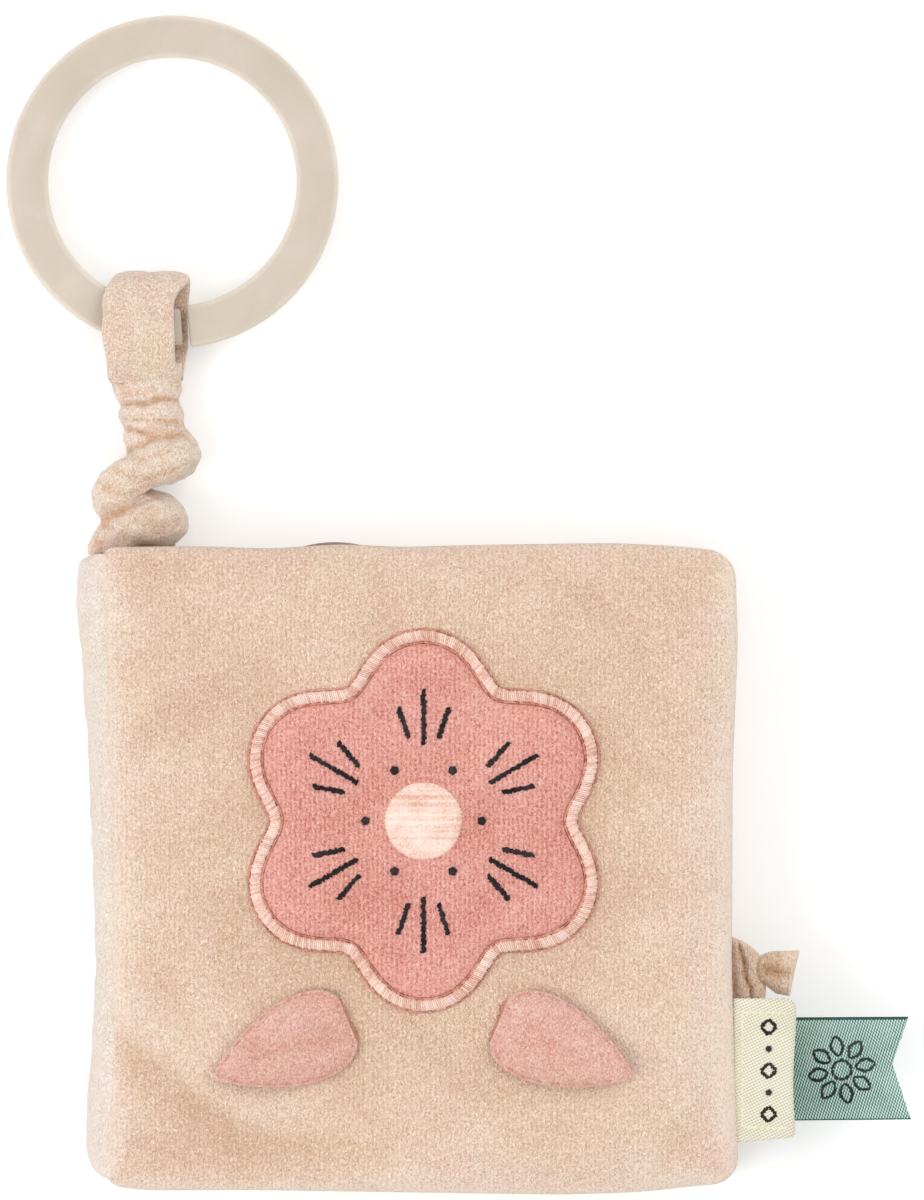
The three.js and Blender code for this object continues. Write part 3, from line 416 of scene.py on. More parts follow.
def outward(points, faces):
    """The faces, turned over if they point into the body."""
    volume = 0.0
    for size in (3, 4):
        group = [face for face in faces if len(face) == size]
        corners = points[np.array(group)] if group else np.zeros((0, size, 3))
        for k in range(1, size - 1):
            volume += (corners[:, 0] * np.cross(corners[:, k], corners[:, k + 1])).sum()
    return [face[::-1] for face in faces] if volume < 0 else faces


def swept(rings, loop=False):
    """A tube through rings of equal length, closed to a loop or capped by fans."""
    rings = np.asarray(rings, float)
    count, sides = rings.shape[:2]
    points = rings.reshape(-1, 3)
    faces = grid_faces(count, sides, wrap=True).tolist()
    last = (count - 1) * sides
    pairs = [(i, (i + 1) % sides) for i in range(sides)]
    if loop:
        faces += [[last + i, last + j, j, i] for i, j in pairs]
    else:
        hub = len(points)
        points = np.vstack([points, rings[0].mean(0), rings[-1].mean(0)])
        faces += [[hub, j, i] for i, j in pairs]
        faces += [[hub + 1, last + i, last + j] for i, j in pairs]
    return points, outward(points, faces)


def shell(outer, inner):
    """A closed body of two grids of points that are joined round their edges."""
    rows, columns = outer.shape[:2]
    count = rows * columns
    points = np.vstack([outer.reshape(-1, 3), inner.reshape(-1, 3)])
    rim = np.concatenate([
        np.arange(columns), np.arange(1, rows) * columns + columns - 1,
        (rows - 1) * columns + np.arange(columns - 2, -1, -1),
        np.arange(rows - 2, 0, -1) * columns,
    ])
    after = np.roll(rim, -1)
    strip = np.stack([rim, after, after + count, rim + count], -1)
    faces = np.vstack([grid_faces(rows, columns), strip[:, ::-1],
                       grid_faces(rows, columns, count, flip=True)])
    return points, outward(points, faces)


def joined(shapes):
    """Several bodies' points and faces as one mesh."""
    points, faces, start = [], [], 0
    for some_points, some_faces in shapes:
        points.append(np.asarray(some_points, float))
        faces += [[int(i) + start for i in face] for face in some_faces]
        start += len(some_points)
    return np.vstack(points), faces


def ripple(x, y, size, seed, waves=14):
    """A smooth random field of about unit height with lumps of a given size."""
    rng = np.random.default_rng(seed)
    total = np.zeros(np.broadcast(x, y).shape)
    for _ in range(waves):
        angle, phase = rng.uniform(0, TURN, 2)
        k = TURN / (size * rng.uniform(1.4, 2.8))
        total = total + np.cos(k * (x * math.cos(angle) + y * math.sin(angle)) + phase)
    return total / math.sqrt(waves / 2)


def ripple3(points, size, seed, waves=18):
    """The same for points in space."""
    rng = np.random.default_rng(seed)
    total = np.zeros(len(points))
    for _ in range(waves):
        axis = rng.normal(size=3)
        axis /= np.linalg.norm(axis)
        k = TURN / (size * rng.uniform(1.4, 2.8))
        total += np.cos(k * (points @ axis) + rng.uniform(0, TURN))
    return total / math.sqrt(waves / 2)


def ease(value, low, high):
    """A smooth step from 0 to 1 between two values."""
    share = np.clip((value - low) / (high - low), 0, 1)
    return share * share * (3 - 2 * share)


def bell(off, width, other=0.0, other_width=1.0):
    """1 at no distance, falling to 0 over some widths, one way or both."""
    return np.exp(-((off / width) ** 2 + (other / other_width) ** 2))


def rounded(value, power):
    """A value between -1 and 1 raised to a power, its sign kept."""
    return np.sign(value) * np.abs(value) ** power


def curve_through(knots, values, at):
    """A smooth line through knots, read at some places."""
    fine = np.linspace(knots[0], knots[-1], 400)
    line = np.interp(fine, knots, values)
    kernel = np.hanning(41)
    padded = np.pad(line, 20, mode="edge")
    line = np.convolve(padded, kernel / kernel.sum(), mode="valid")
    return np.interp(at, fine, line)


# Leaves
LEAF_X = 3.2
LEAF_WIDTH, LEAF_HEIGHT = 121.8, 124.8
BACK_Z, PAGE_Z, FRONT_Z = 4.3, 13.2, 22.1
# Each leaf's seam: its height, how far it is drawn in, and its way, up or down, to the spine
LEAVES = {"front_cover": (FRONT_Z, 0.0, 1), "page": (PAGE_Z, 1.0, 0),
          "back_cover": (BACK_Z, 0.0, -1)}
RISE = 4.15
EDGE = 11.0  # how far in a leaf's rounded edge runs
CORNERS = (2.6, 5.2)  # at the spine and at the fore edge
PLUSH, LINING = 1.4, 0.9
SEAM = 0.15  # half a seam's thickness
CLEAR = 0.3  # room between the wadding and its panels


def side_lines(inset):
    """The four edges of a leaf as the photograph shows them, drawn in by an inset."""
    left = ([-62.4, -50, -30, 0, 30, 50, 62.4], [-57.9, -57.3, -56.8, -56.9, -57.6, -58.4, -58.9])
    right = ([-62.4, -45, -20, 20, 45, 62.4], [64.0, 63.3, 62.6, 62.8, 63.8, 63.2])
    top = ([-57.7, -40, -25, -12, 0, 14, 40, 53, 64.1],
           [62.2, 62.4, 61.9, 62.8, 62.2, 62.6, 63.0, 62.4, 61.2])
    bottom = ([-57.7, -54, -50, -30, 10, 30, 45, 56, 64.1],
              [-60.6, -61.3, -61.8, -61.7, -62.3, -62.6, -62.1, -60.9, -60.3])
    return (
        lambda y: curve_through(*left, y) + inset,
        lambda y: curve_through(*right, y) - inset,
        lambda x: curve_through(*top, x) - inset,
        lambda x: curve_through(*bottom, x) + inset,
    )


def insets(length, step, rounds=12):
    """Distances across a leaf, close together where its edge is round."""
    edge = EDGE * (1 - np.cos(np.linspace(0, math.pi / 2, rounds + 1)))
    middle = np.linspace(EDGE, length - EDGE, max(int((length - 2 * EDGE) / step), 4))
    return np.concatenate([edge, middle[1:-1], length - edge[::-1]])


def dome(distance):
    """The share of its rise that a leaf has at a distance from its edge."""
    return np.sqrt(np.clip(1 - (1 - np.clip(distance / EDGE, 0, 1)) ** 2, 0, 1))


SHEET = (80, 82)  # points of the simulated cloth across and along
SHEET_GROWN = 4.0  # the cloth is simulated at four times its size
SHEET_FRAMES = 20
SPARE_CLOTH = 0.03
SHEET_CAP = (-1.0, 1.3)


def sewn_sheet():
    """Folds that a plush panel with a little spare cloth makes when its edges are sewn down.

    The sheet starts as the plain cushion, is pinned round its edge, and buckles as it grows.
    What comes back is how far each of its points has left the cushion, in millimetres.
    """
    rows, columns = SHEET
    x = np.linspace(-LEAF_WIDTH / 2, LEAF_WIDTH / 2, rows)
    y = np.linspace(-LEAF_HEIGHT / 2, LEAF_HEIGHT / 2, columns)
    gx, gy = np.meshgrid(x, y, indexing="ij")
    rise = RISE * dome(LEAF_WIDTH / 2 - np.abs(gx)) * dome(LEAF_HEIGHT / 2 - np.abs(gy))
    rise = rise + 0.03 * ripple(gx, gy, 9, 7) * rise / RISE
    mesh = bpy.data.meshes.new("folds")
    points = np.stack([gx, gy, rise], -1).reshape(-1, 3) * MM * SHEET_GROWN
    mesh.from_pydata(points.tolist(), [], grid_faces(rows, columns).tolist())
    obj = bpy.data.objects.new("folds", mesh)
    scene.collection.objects.link(obj)
    sewn = obj.vertex_groups.new(name="sewn")
    sewn.add([i * columns + j for i in range(rows) for j in range(columns)
              if i in (0, rows - 1) or j in (0, columns - 1)], 1.0, "REPLACE")
    settings = obj.modifiers.new("cloth", "CLOTH").settings
    settings.quality = 6
    settings.mass = 0.3
    settings.tension_stiffness = settings.compression_stiffness = 15
    settings.shear_stiffness = 5
    settings.bending_stiffness = 2.0
    settings.shrink_min = -SPARE_CLOTH
    settings.effector_weights.gravity = 0
    settings.vertex_group_mass = "sewn"
    settings.use_pressure = True
    settings.uniform_pressure_force = 0.3
    for frame_number in range(1, SHEET_FRAMES + 1):
        scene.frame_set(frame_number)
    settled = obj.evaluated_get(bpy.context.evaluated_depsgraph_get()).to_mesh()
    height = read(settled)[:, 2].reshape(rows, columns)
    bpy.data.objects.remove(obj)
    scene.frame_set(1)
    left = height / MM / SHEET_GROWN - rise
    left = np.clip(left, *SHEET_CAP)
    for _ in range(2):
        padded = np.pad(left, 1, mode="edge")
        left = (padded[:-2, 1:-1] + padded[2:, 1:-1] + padded[1:-1, :-2] + padded[1:-1, 2:]
                + 2 * left) / 6
    return left


def simulated(x, y, mirrored=True):
    """The simulated folds at places on a leaf."""
    rows, columns = SHEET
    u = np.clip((np.asarray(x, float) - LEAF_X) / LEAF_WIDTH + 0.5, 0, 1)
    v = np.clip(np.asarray(y, float) / LEAF_HEIGHT + 0.5, 0, 1)
    u = (1 - u if mirrored else u) * (rows - 1.001)
    v = v * (columns - 1.001)
    i, j = u.astype(int), v.astype(int)
    u, v = u - i, v - j
    return ((folds[i, j] * (1 - u) + folds[i + 1, j] * u) * (1 - v)
            + (folds[i, j + 1] * (1 - u) + folds[i + 1, j + 1] * u) * v)


folds = sewn_sheet()
FOLD = np.array([(-57.5, -27.0), (-54.7, -30.2), (-45.0, -37.3), (-38.0, -43.6), (-31.9, -48.2),
                 (-22.0, -50.6), (-14.3, -51.3)])


def from_fold(x, y):
    """Signed distance from the slanting fold, below it positive, and the share along it."""
    best = np.full(np.shape(x), 1e9)
    signed, along = np.zeros(np.shape(x)), np.zeros(np.shape(x))
    for i, ((ax, ay), (bx, by)) in enumerate(zip(FOLD[:-1], FOLD[1:])):
        dx, dy = bx - ax, by - ay
        length = math.hypot(dx, dy)
        share = np.clip(((x - ax) * dx + (y - ay) * dy) / length ** 2, 0, 1)
        off_x, off_y = x - ax - share * dx, y - ay - share * dy
        distance = np.hypot(off_x, off_y)
        nearer = distance < best
        best = np.where(nearer, distance, best)
        side = np.where((x - ax) * dy - (y - ay) * dx > 0, 1.0, -1.0)
        signed = np.where(nearer, side * distance, signed)
        along = np.where(nearer, (i + share) / (len(FOLD) - 1), along)
    return signed, along


def cover_bumps(x, y):
    """How the front cover's plush departs from a plain cushion."""
    away, along = from_fold(x, y)
    fades = 1 - ease(along, 0.55, 1.0)
    near_spine = 1 - ease(x, -50, -34)
    bumps = 0.16 * ripple(x, y, 17, 4) + 0.08 * ripple(x, y, 7, 5)
    bumps = bumps + 0.5 * simulated(x, y) * (1 - 0.7 * bell(away, 14))
    # the sag below the slanting fold, and the ridge above it
    bumps = bumps - 1.75 * ease(away, -1.5, 3.5) * (1 - ease(away, 7, 22)) * fades
    bumps = bumps + 0.65 * bell(away + 3.2, 2.6) * fades
    # a crease in from the spine, a pucker in from the bottom edge, and two shallow hollows
    bumps = bumps + (0.35 * bell(y + 20, 2.2) - 0.55 * bell(y + 24, 2.0)) * near_spine
    bumps = bumps - 0.5 * bell(x - 6 + (y + 56) * 0.7, 2.2) * (1 - ease(y, -58, -48))
    return bumps - 0.6 * bell(x + 30, 26, y - 20, 14) - 0.5 * bell(x - 44, 15, y + 4, 22)


def seam_shift(x, left):
    """How far a cover's seam leaves its level to meet the spine strip."""
    return 1.35 * (1 - ease(x - left, 0, 10))


def lining_bumps(seed, depth=0.22):
    """Soft dents that only go into a leaf, so that leaves that touch stay clear."""
    return lambda x, y: -np.abs(depth * ripple(x, y, 13, seed)) - 0.3 * np.abs(
        simulated(x, y, seed % 20 < 10)) * min(1.0, depth / 0.2)


def gathers(x, y, left, right, top, bottom, seed):
    """Small puckers that run in from a leaf's sewn edge and die out."""
    total = np.zeros(x.shape)
    for i, (gap, run) in enumerate(((x - left, y), (right - x, y), (top - y, x),
                                    (y - bottom, x))):
        wave = ripple(run, 0.12 * gap, 3.2, seed + i)
        total += 0.2 * wave * np.exp(-np.clip(gap - 2, 0, None) / 3.2) * ease(gap, 0.2, 2.5)
    return total


def leaf_field(step, inset):
    """A leaf's grid in plan, and how far its dome has risen at each point."""
    width, height = LEAF_WIDTH, LEAF_HEIGHT
    across, up = insets(width, step), insets(height, step)
    gap_x = np.minimum(across, width - across)
    gap_y = np.minimum(up, height - up)
    rise = dome(gap_x)[:, None] * dome(gap_y)[None, :]
    x, y = np.meshgrid(across - width / 2, up - height / 2, indexing="ij")
    corner = np.where(x < 0, *CORNERS)
    a = (np.abs(x) - (width / 2 - corner)) / corner
    b = (np.abs(y) - (height / 2 - corner)) / corner
    both = (a > 0) & (b > 0)
    pull = np.where(both, np.maximum(a, b) / np.maximum(np.hypot(a, b), 1e-9), 1)
    x = np.where(both, np.sign(x) * (width / 2 - corner + corner * a * pull), x)
    y = np.where(both, np.sign(y) * (height / 2 - corner + corner * b * pull), y)
    left, right, top, bottom = side_lines(inset)
    lefts, rights = left(y), right(y)
    tops, bottoms = top(x + LEAF_X), bottom(x + LEAF_X)
    plan_x = lefts + (rights - lefts) * (x / width + 0.5)
    plan_y = bottoms + (tops - bottoms) * (y / height + 0.5)
    return plan_x, plan_y, rise, (lefts, rights, tops, bottoms)


def leaf_panel(body, side, step, cloth, bumps, seed, flat_cut):
    """One cloth panel of a leaf: outside and inside surface, joined along the seam.

    flat_cut is how much of its dome is missing at the top.
    """
    seam_z, inset, way = LEAVES[body]
    x, y, rise, edges = leaf_field(step, inset)
    lift = np.minimum((RISE + flat_cut) * rise, RISE) + bumps(x, y) * rise ** 1.5
    lift = lift + gathers(x, y, *edges, seed) * rise
    lift = np.clip(lift, 0, None if side > 0 else RISE)
    level = seam_z + way * seam_shift(x, edges[0])
    inner_x, inner_y, inner_rise, _ = leaf_field(step, inset + cloth)
    inner_lift = np.clip(np.minimum(lift - cloth, (RISE - cloth) * inner_rise), 0, None)
    return shell(stacked(x, y, level + side * (SEAM + lift)),
                 stacked(inner_x, inner_y, level + side * (SEAM + inner_lift)))


def leaf_wadding(body, above, below, seed):
    """The loose filling between two panels, kept just clear of both."""
    seam_z, inset, way = LEAVES[body]
    x, y, rise, edges = leaf_field(3.0, inset + (max(above, below) + CLEAR))
    level = seam_z + way * seam_shift(x, edges[0])
    high, low = [np.clip((RISE - cloth - CLEAR) * rise
                         - 0.2 * np.abs(ripple(x, y, 4, seed + i)) * rise, 0, None)
                 for i, cloth in enumerate((above, below))]
    if body == "front_cover":
        near = [cover_bumps(x + dx, y + dy) for dx in (-2, 0, 2) for dy in (-2, 0, 2)]
        high = np.clip(high + np.minimum(np.min(near, 0), 0) - 0.1, 0, None)
    return shell(stacked(x, y, level + 0.02 + high), stacked(x, y, level - 0.02 - low))


def cover_top(x, y):
    """Height of the front cover's plush at a place away from its edge."""
    return FRONT_Z + SEAM + RISE + cover_bumps(np.asarray(x, float), np.asarray(y, float))


OUTSIDE, INSIDE = ("plush", PLUSH), ("cotton", LINING)
for body, name, node, side, step, (slot, cloth), bumps, seed, flat_cut, material in (
        ("front_cover", "plush", "outer", 1, 0.5, OUTSIDE, cover_bumps, 11, 0.0, beige),
        ("front_cover", "lining", "inner", -1, 1.2, INSIDE, lining_bumps(31), 21, 0.0,
         lining_dots),
        ("back_cover", "plush", "outer", -1, 0.9, OUTSIDE, lining_bumps(41, 0.12), 22, 0.5, beige),
        ("back_cover", "lining", "inner", 1, 1.2, INSIDE, lining_bumps(51), 23, 0.0, back_dots),
        ("page", "back_cloth", "back_panel", -1, 1.2, INSIDE, lining_bumps(61), 24, 0.0,
         page_dots),
        ("page", "front_cloth", "front_panel", 1, 1.2, INSIDE, lining_bumps(71, 0.1), 25, 0.0,
         page_dots)):
    piece(f"{body}_{name}", leaf_panel(body, side, step, cloth, bumps, seed, flat_cut), material,
          body, slot, [f"{body}_{node}"], pad=0.5)

MIRROR_Y = 4.0
WINDOW, BINDING = 21.0, 2.6  # the window's radius, and how wide its binding is
PAGE_TOP = PAGE_Z + 4.3


def cut_round(obj, radius, x, y, low, high):
    """Cuts a round hole down through an object."""
    bpy.ops.mesh.primitive_cylinder_add(vertices=128, radius=radius * MM, depth=(high - low) * MM,
                                        location=(x * MM, y * MM, (high + low) / 2 * MM))
    tool = bpy.context.object
    modifier = obj.modifiers.new("hole", "BOOLEAN")
    modifier.object = tool
    modifier.operation = "DIFFERENCE"
    modifier.solver = "EXACT"
    result = evaluated(obj)
    obj.modifiers.clear()
    old = obj.data
    obj.data = result
    bpy.data.meshes.remove(old)
    bpy.data.objects.remove(tool)


cut_round(bpy.data.objects["page_front_cloth"], WINDOW + BINDING - 0.6, LEAF_X, MIRROR_Y,
          PAGE_Z + 1.0, PAGE_TOP + 2)

# Room in the wadding for the mirror and the squeaker: radius, place and heights
POCKETS = {"page": (25.3, LEAF_X, MIRROR_Y, PAGE_TOP - 2.4, PAGE_TOP + 2),
           "front_cover": (15.3, 26.0, -34.0, FRONT_Z - 8, FRONT_Z + 8)}
for body, above, below, seed in (("front_cover", PLUSH, LINING, 81), ("page", LINING, LINING, 83),
                                 ("back_cover", LINING, PLUSH, 85)):
    filling = piece(f"{body}_filling", leaf_wadding(body, above, below, seed), wadding_wool, body,
                    "wadding", [f"{body}_wadding"], pad=0.4)
    if body in POCKETS:
        cut_round(filling, *POCKETS[body])

# Spine
SPINE_KNOTS = [-59.7, -58.2, -56.5, -54, -50, -40, -32, -17.5, -2, 13.4, 29, 44, 52, 58.5, 60.9]
SPINE_LEFT = [-58.6, -60.3, -61.5, -62.1, -62.1, -61.2, -60.7, -60.1, -60.6, -61.2, -61.9, -63.1,
              -64.1, -63.9, -62.6]
SPINE_ENDS = (-59.7, 60.9)
SPINE_HALF = 11.3


def spine_sheet(low, high):
    """A length of the spine strip: a cloth shell that bows outwards between two seams."""
    cloth, turned_in = 1.2, 4.0
    bottom, top = SPINE_ENDS
    ends = turned_in * (1 - np.cos(np.linspace(0, math.pi / 2, 14)))
    y = np.concatenate([bottom + ends,
                        np.linspace(bottom + turned_in, top - turned_in, 150)[1:-1],
                        top - ends[::-1]])
    z = np.linspace(low, high, 16)
    outer_x = curve_through(SPINE_KNOTS, SPINE_LEFT, y)[:, None]
    inner_x = side_lines(0.0)[0](y)[:, None] + 0.6
    bulge = (1 - np.clip(np.abs(z - PAGE_Z) / SPINE_HALF, 0, 1) ** 2.6) ** (1 / 2.6)
    end = np.clip(np.minimum(y - bottom, top - y) / 2.4, 0, 1)[:, None]
    end = 0.25 + 0.75 * np.sqrt(1 - (1 - end) ** 2)
    yy, zz = np.meshgrid(y, z, indexing="ij")
    x = inner_x + (outer_x - inner_x) * bulge * end
    x = x + (0.13 * ripple(yy, zz, 6, 91) + 0.06 * ripple(yy, zz, 2.4, 92)) * bulge
    return shell(stacked(x, yy, zz), stacked(np.minimum(x + cloth, inner_x + 0.8), yy * 0.985, zz))


for name, low, nodes, parent, child, start_z, end_z in (
        ("spine_cloth_lower", PAGE_Z - SPINE_HALF, ["spine_back"], "back_cover", "page", 0.0045,
         0.0125),
        ("spine_cloth_upper", PAGE_Z, ["spine_front", "spine_page"], "page", "front_cover", 0.014,
         0.0215)):
    piece(name, spine_sheet(low, low + SPINE_HALF), spine_velour_painted_sheen, None, "spine", nodes,
          (parent, child, (-0.058, 0, start_z), (-0.058, 0, end_z)), 0.3)


# Embroidery
STITCH = (0.02, 0.2, 0.5, 0.8, 0.98)  # where a stitch has its rings of points


def stitched_band(path, normals, half, height, pitch, closed, seed, lean=0.2, ragged=0.1,
                  groove=0.3, sides=7):
    """A row of satin stitches across a path: a low arch with a groove between the threads.

    path holds points in millimetres, normals the direction across in plan.
    """
    rng = np.random.default_rng(seed)
    loop = np.vstack([path, path[:1]]) if closed else path
    steps = np.linalg.norm(np.diff(loop, axis=0), axis=1)
    length = np.concatenate([[0], np.cumsum(steps)])
    count = max(int(round(length[-1] / pitch)), 3)
    pitch = length[-1] / count
    outer, inner = rng.uniform(-ragged, ragged, (2, count))
    tall = rng.uniform(1 - ragged, 1, count)
    if closed:
        normals = np.vstack([normals, normals[:1]])
    rings = []
    for k in range(count):
        for spot in STITCH:
            round_off = 1 - groove * (1 - math.sqrt(1 - (2 * spot - 1) ** 2 * 0.98))
            ring = []
            for angle in np.linspace(0, math.pi, sides):
                side = math.cos(angle)
                reach = half + (outer[k] if side > 0 else inner[k]) * half * abs(side)
                here = (k + spot) * pitch + side * half * lean
                here = here % length[-1] if closed else min(max(here, 0), length[-1])
                centre = np.array([np.interp(here, length, loop[:, i]) for i in range(3)])
                across = np.array([np.interp(here, length, normals[:, i]) for i in range(2)])
                across /= max(np.linalg.norm(across), 1e-9)
                up = height * tall[k] * round_off * math.sin(angle) ** 0.75
                ring.append([*(centre[:2] + across * side * reach), centre[2] + up])
            rings.append(ring)
    rings = np.asarray(rings)
    if not closed:
        taper = np.ones(len(rings))
        for i, share in enumerate((0.35, 0.7, 0.9)):
            taper[i] = taper[-1 - i] = share
        middle = rings.mean(1, keepdims=True)
        middle[..., 2] = rings[..., 2].min(1, keepdims=True)
        rings = middle + (rings - middle) * taper[:, None, None]
    return swept(rings, closed)


def tell_stitches(obj, sides, spread, seed):
    """Gives each stitch of a band its own tone."""
    rng = np.random.default_rng(seed)
    stitch = np.arange(len(obj.data.vertices)) // (sides * len(STITCH))
    tones = rng.uniform(-spread, spread, stitch.max() + 1)
    paint_tone_and_light(obj, lambda co: tones[stitch])


def paint_tone_and_light(obj, value):
    """Writes a tone at each point of an object: painted light and shade, or the part's own tone.
    """
    layer = obj.data.attributes.new("tone_and_painted_light", "FLOAT", "POINT")
    layer.data.foreach_set("value", np.asarray(value(read(obj.data) / MM), np.float32))


FLOWER = FLOWER_X, FLOWER_Y = LEAF_X, 9.5
FLOWER_R, PETALS = 31.0, 6


def flower_radius(angle):
    """How far the flower's outline lies from its middle."""
    turned = PETALS * (angle - math.pi / 6)
    return FLOWER_R * (1 + 0.115 * np.cos(turned) - 0.012 * np.cos(2 * turned))


def flower_edge(angle, offset=0.0):
    """Points of the flower's outline in plan, moved out square to it, and that direction."""
    def at(a):
        return flower_radius(a)[:, None] * np.column_stack([np.cos(a), np.sin(a)])
    along = at(angle + 0.004) - at(angle - 0.004)
    along /= np.linalg.norm(along, axis=1)[:, None]
    out = np.column_stack([along[:, 1], -along[:, 0]])
    return at(angle) + out * offset, out


PATCH_BASE, PATCH_RISE = 0.25, 2.0


def patch_top(x, y):
    """Height of the coral patch's plush above the table."""
    dx, dy = np.asarray(x) - FLOWER_X, np.asarray(y) - FLOWER_Y
    angle = np.arctan2(dy, dx)
    share = np.clip(np.hypot(dx, dy) / flower_radius(angle), 0, 1)
    roll = np.sqrt(np.clip(1 - np.clip((share - 0.86) / 0.14, 0, 1) ** 2, 0, 1))
    petal = 0.6 + 0.4 * np.cos(PETALS * (angle - math.pi / 6))
    lumps = 0.35 * bell(share - 0.62, 0.22) * petal + 0.12 * ripple(dx, dy, 6, 17)
    return cover_top(x, y) + PATCH_BASE + PATCH_RISE * roll + lumps * roll


shares = np.concatenate([np.linspace(0.02, 0.84, 26), 0.84 + 0.16 * np.sin(
    np.linspace(0.12, math.pi / 2, 10))])
outline = flower_edge(around(480))[0] * shares[:, None, None]
patch_x, patch_y = FLOWER_X + outline[..., 0], FLOWER_Y + outline[..., 1]
patch_rings = stacked(patch_x, patch_y, patch_top(patch_x, patch_y))
under_x, under_y = patch_x[::-6], patch_y[::-6]
under = stacked(under_x, under_y, cover_top(under_x, under_y) + PATCH_BASE - 0.1)
piece("flower_patch_plush", swept(np.vstack([patch_rings, under])), coral, "front_cover", "coral",
      ["flower_patch"], pad=0.5)


def plan_path(offset, lift):
    """The flower's outline at an offset, laid on the cover."""
    plan, out = flower_edge(around(720), offset)
    plan = plan + FLOWER
    return np.column_stack([plan, cover_top(plan[:, 0], plan[:, 1]) + lift]), out


border = piece("flower_satin_border",
               stitched_band(*plan_path(1.4, 0.1), 1.14, 1.75, 0.4, True, 5), satin,
               "front_cover", "satin", ["flower_border"])
tell_stitches(border, 7, 0.75, 12)
for name, offset, lift, seed in (("flower_edge_inside", 0.16, 0.55, 6),
                                 ("flower_edge_outside", 2.64, 0.0, 7)):
    band = stitched_band(*plan_path(offset, lift), 0.27, 0.62, 0.75, True, seed, 0.5, 0.4, 0.45, 5)
    tell_stitches(piece(name, band, edge_thread, "front_cover", "satin"), 5, 0.8, seed)

EYE_R, EYE_THREAD = 7.5, 0.45


def eye_shape():
    """The flower's eye: straight satin stitches side by side over a low dome."""
    side = np.linspace(-1, 1, 96)
    gx, gy = np.meshgrid(side, side, indexing="ij")
    wide = np.maximum(np.abs(gx), np.abs(gy))
    far = wide / np.maximum(np.hypot(gx, gy), 1e-9)
    ragged = 1 + 0.025 * np.sin(gy * 61) * (wide > 0.97)
    x, y = gx * far * EYE_R * ragged, gy * far * EYE_R
    reach = np.clip(np.hypot(x, y) / EYE_R, 0, 1)
    threads = 0.1 * np.abs(np.cos(math.pi * (y + 0.05 * ripple(x, y, 3, 8)) / EYE_THREAD))
    dome_z = 1.35 * np.sqrt(np.clip(1 - reach ** 3.2, 0, 1))
    x, y = x + FLOWER_X, y + FLOWER_Y
    ground = patch_top(x, y)
    return shell(stacked(x, y, ground - 0.1 + dome_z + threads), stacked(x, y, ground - 0.5))


piece("flower_eye_satin", eye_shape(), satin, "front_cover", "satin", ["flower_eye"])


def stroke(start, end, half, height, ground, seed, pitch=0.34, bend=0.0):
    """One embroidered line between two points of a surface."""
    start, end = np.array(start, float), np.array(end, float)
    share = np.linspace(0, 1, 24)[:, None]
    along = (end - start) / np.linalg.norm(end - start)
    out = np.array([along[1], -along[0]])
    plan = start + (end - start) * share + out * bend * np.sin(math.pi * share)
    path = np.column_stack([plan, ground(plan[:, 0], plan[:, 1]) - 0.05])
    return stitched_band(path, np.tile(out, (24, 1)), half, height, pitch, False, seed, 0.5, 0.42,
                         0.55, 5)


def knot(x, y, radius, ground, seed):
    """A small round embroidered knot."""
    rng = np.random.default_rng(seed)
    level = float(ground(x, y)) - 0.1
    rings = []
    for lift, wide in ((0.0, 0.9), (0.25, 1.0), (0.5, 0.95), (0.75, 0.7), (0.9, 0.3)):
        ring = []
        for a in around(12):
            r = radius * wide * (1 + 0.14 * math.sin(5 * a + seed) + rng.uniform(-0.05, 0.05))
            ring.append([*polar(x, y, a, r), level + lift * radius])
        rings.append(ring)
    return swept(rings)


# Veins of the petals and a ring of knots round the eye, in black thread
strokes = []
for petal in range(PETALS):
    a = math.pi / 6 + petal * TURN / PETALS
    for lean, near, far in ((0.0, 14.5, 25.5), (0.22, 16.0, 22.5), (-0.22, 16.0, 22.5)):
        strokes.append(stroke(polar(*FLOWER, a + lean * 0.8, near), polar(*FLOWER, a + lean, far),
                              0.5, 0.55, patch_top, petal * 3 + int(lean * 10) + 40))
    strokes.append(knot(*polar(*FLOWER, a + math.pi / PETALS, 11.2), 0.85, patch_top, petal + 3))
piece("flower_black_stitching", joined(strokes), black_thread, "front_cover", "satin")

# Leaf flaps
FLAP_LENGTH, FLAP_WIDTH, FLAP_BASE = 28.0, 15.0, 8.0
# How far out each ring lies, as a share of the outline, and how high
FLAP_RINGS = ((0.05, 1.95), (0.3, 1.9), (0.48, 1.78), (0.62, 1.62), (0.74, 1.35), (0.83, 1.02),
              (0.89, 0.66), (0.925, 0.42), (0.95, 0.5), (0.97, 0.55), (0.988, 0.46), (1.0, 0.2),
              (1.0, -0.05), (0.985, -0.3), (0.94, -0.3), (0.9, -0.35), (0.75, -0.65), (0.5, -0.8),
              (0.05, -0.82))


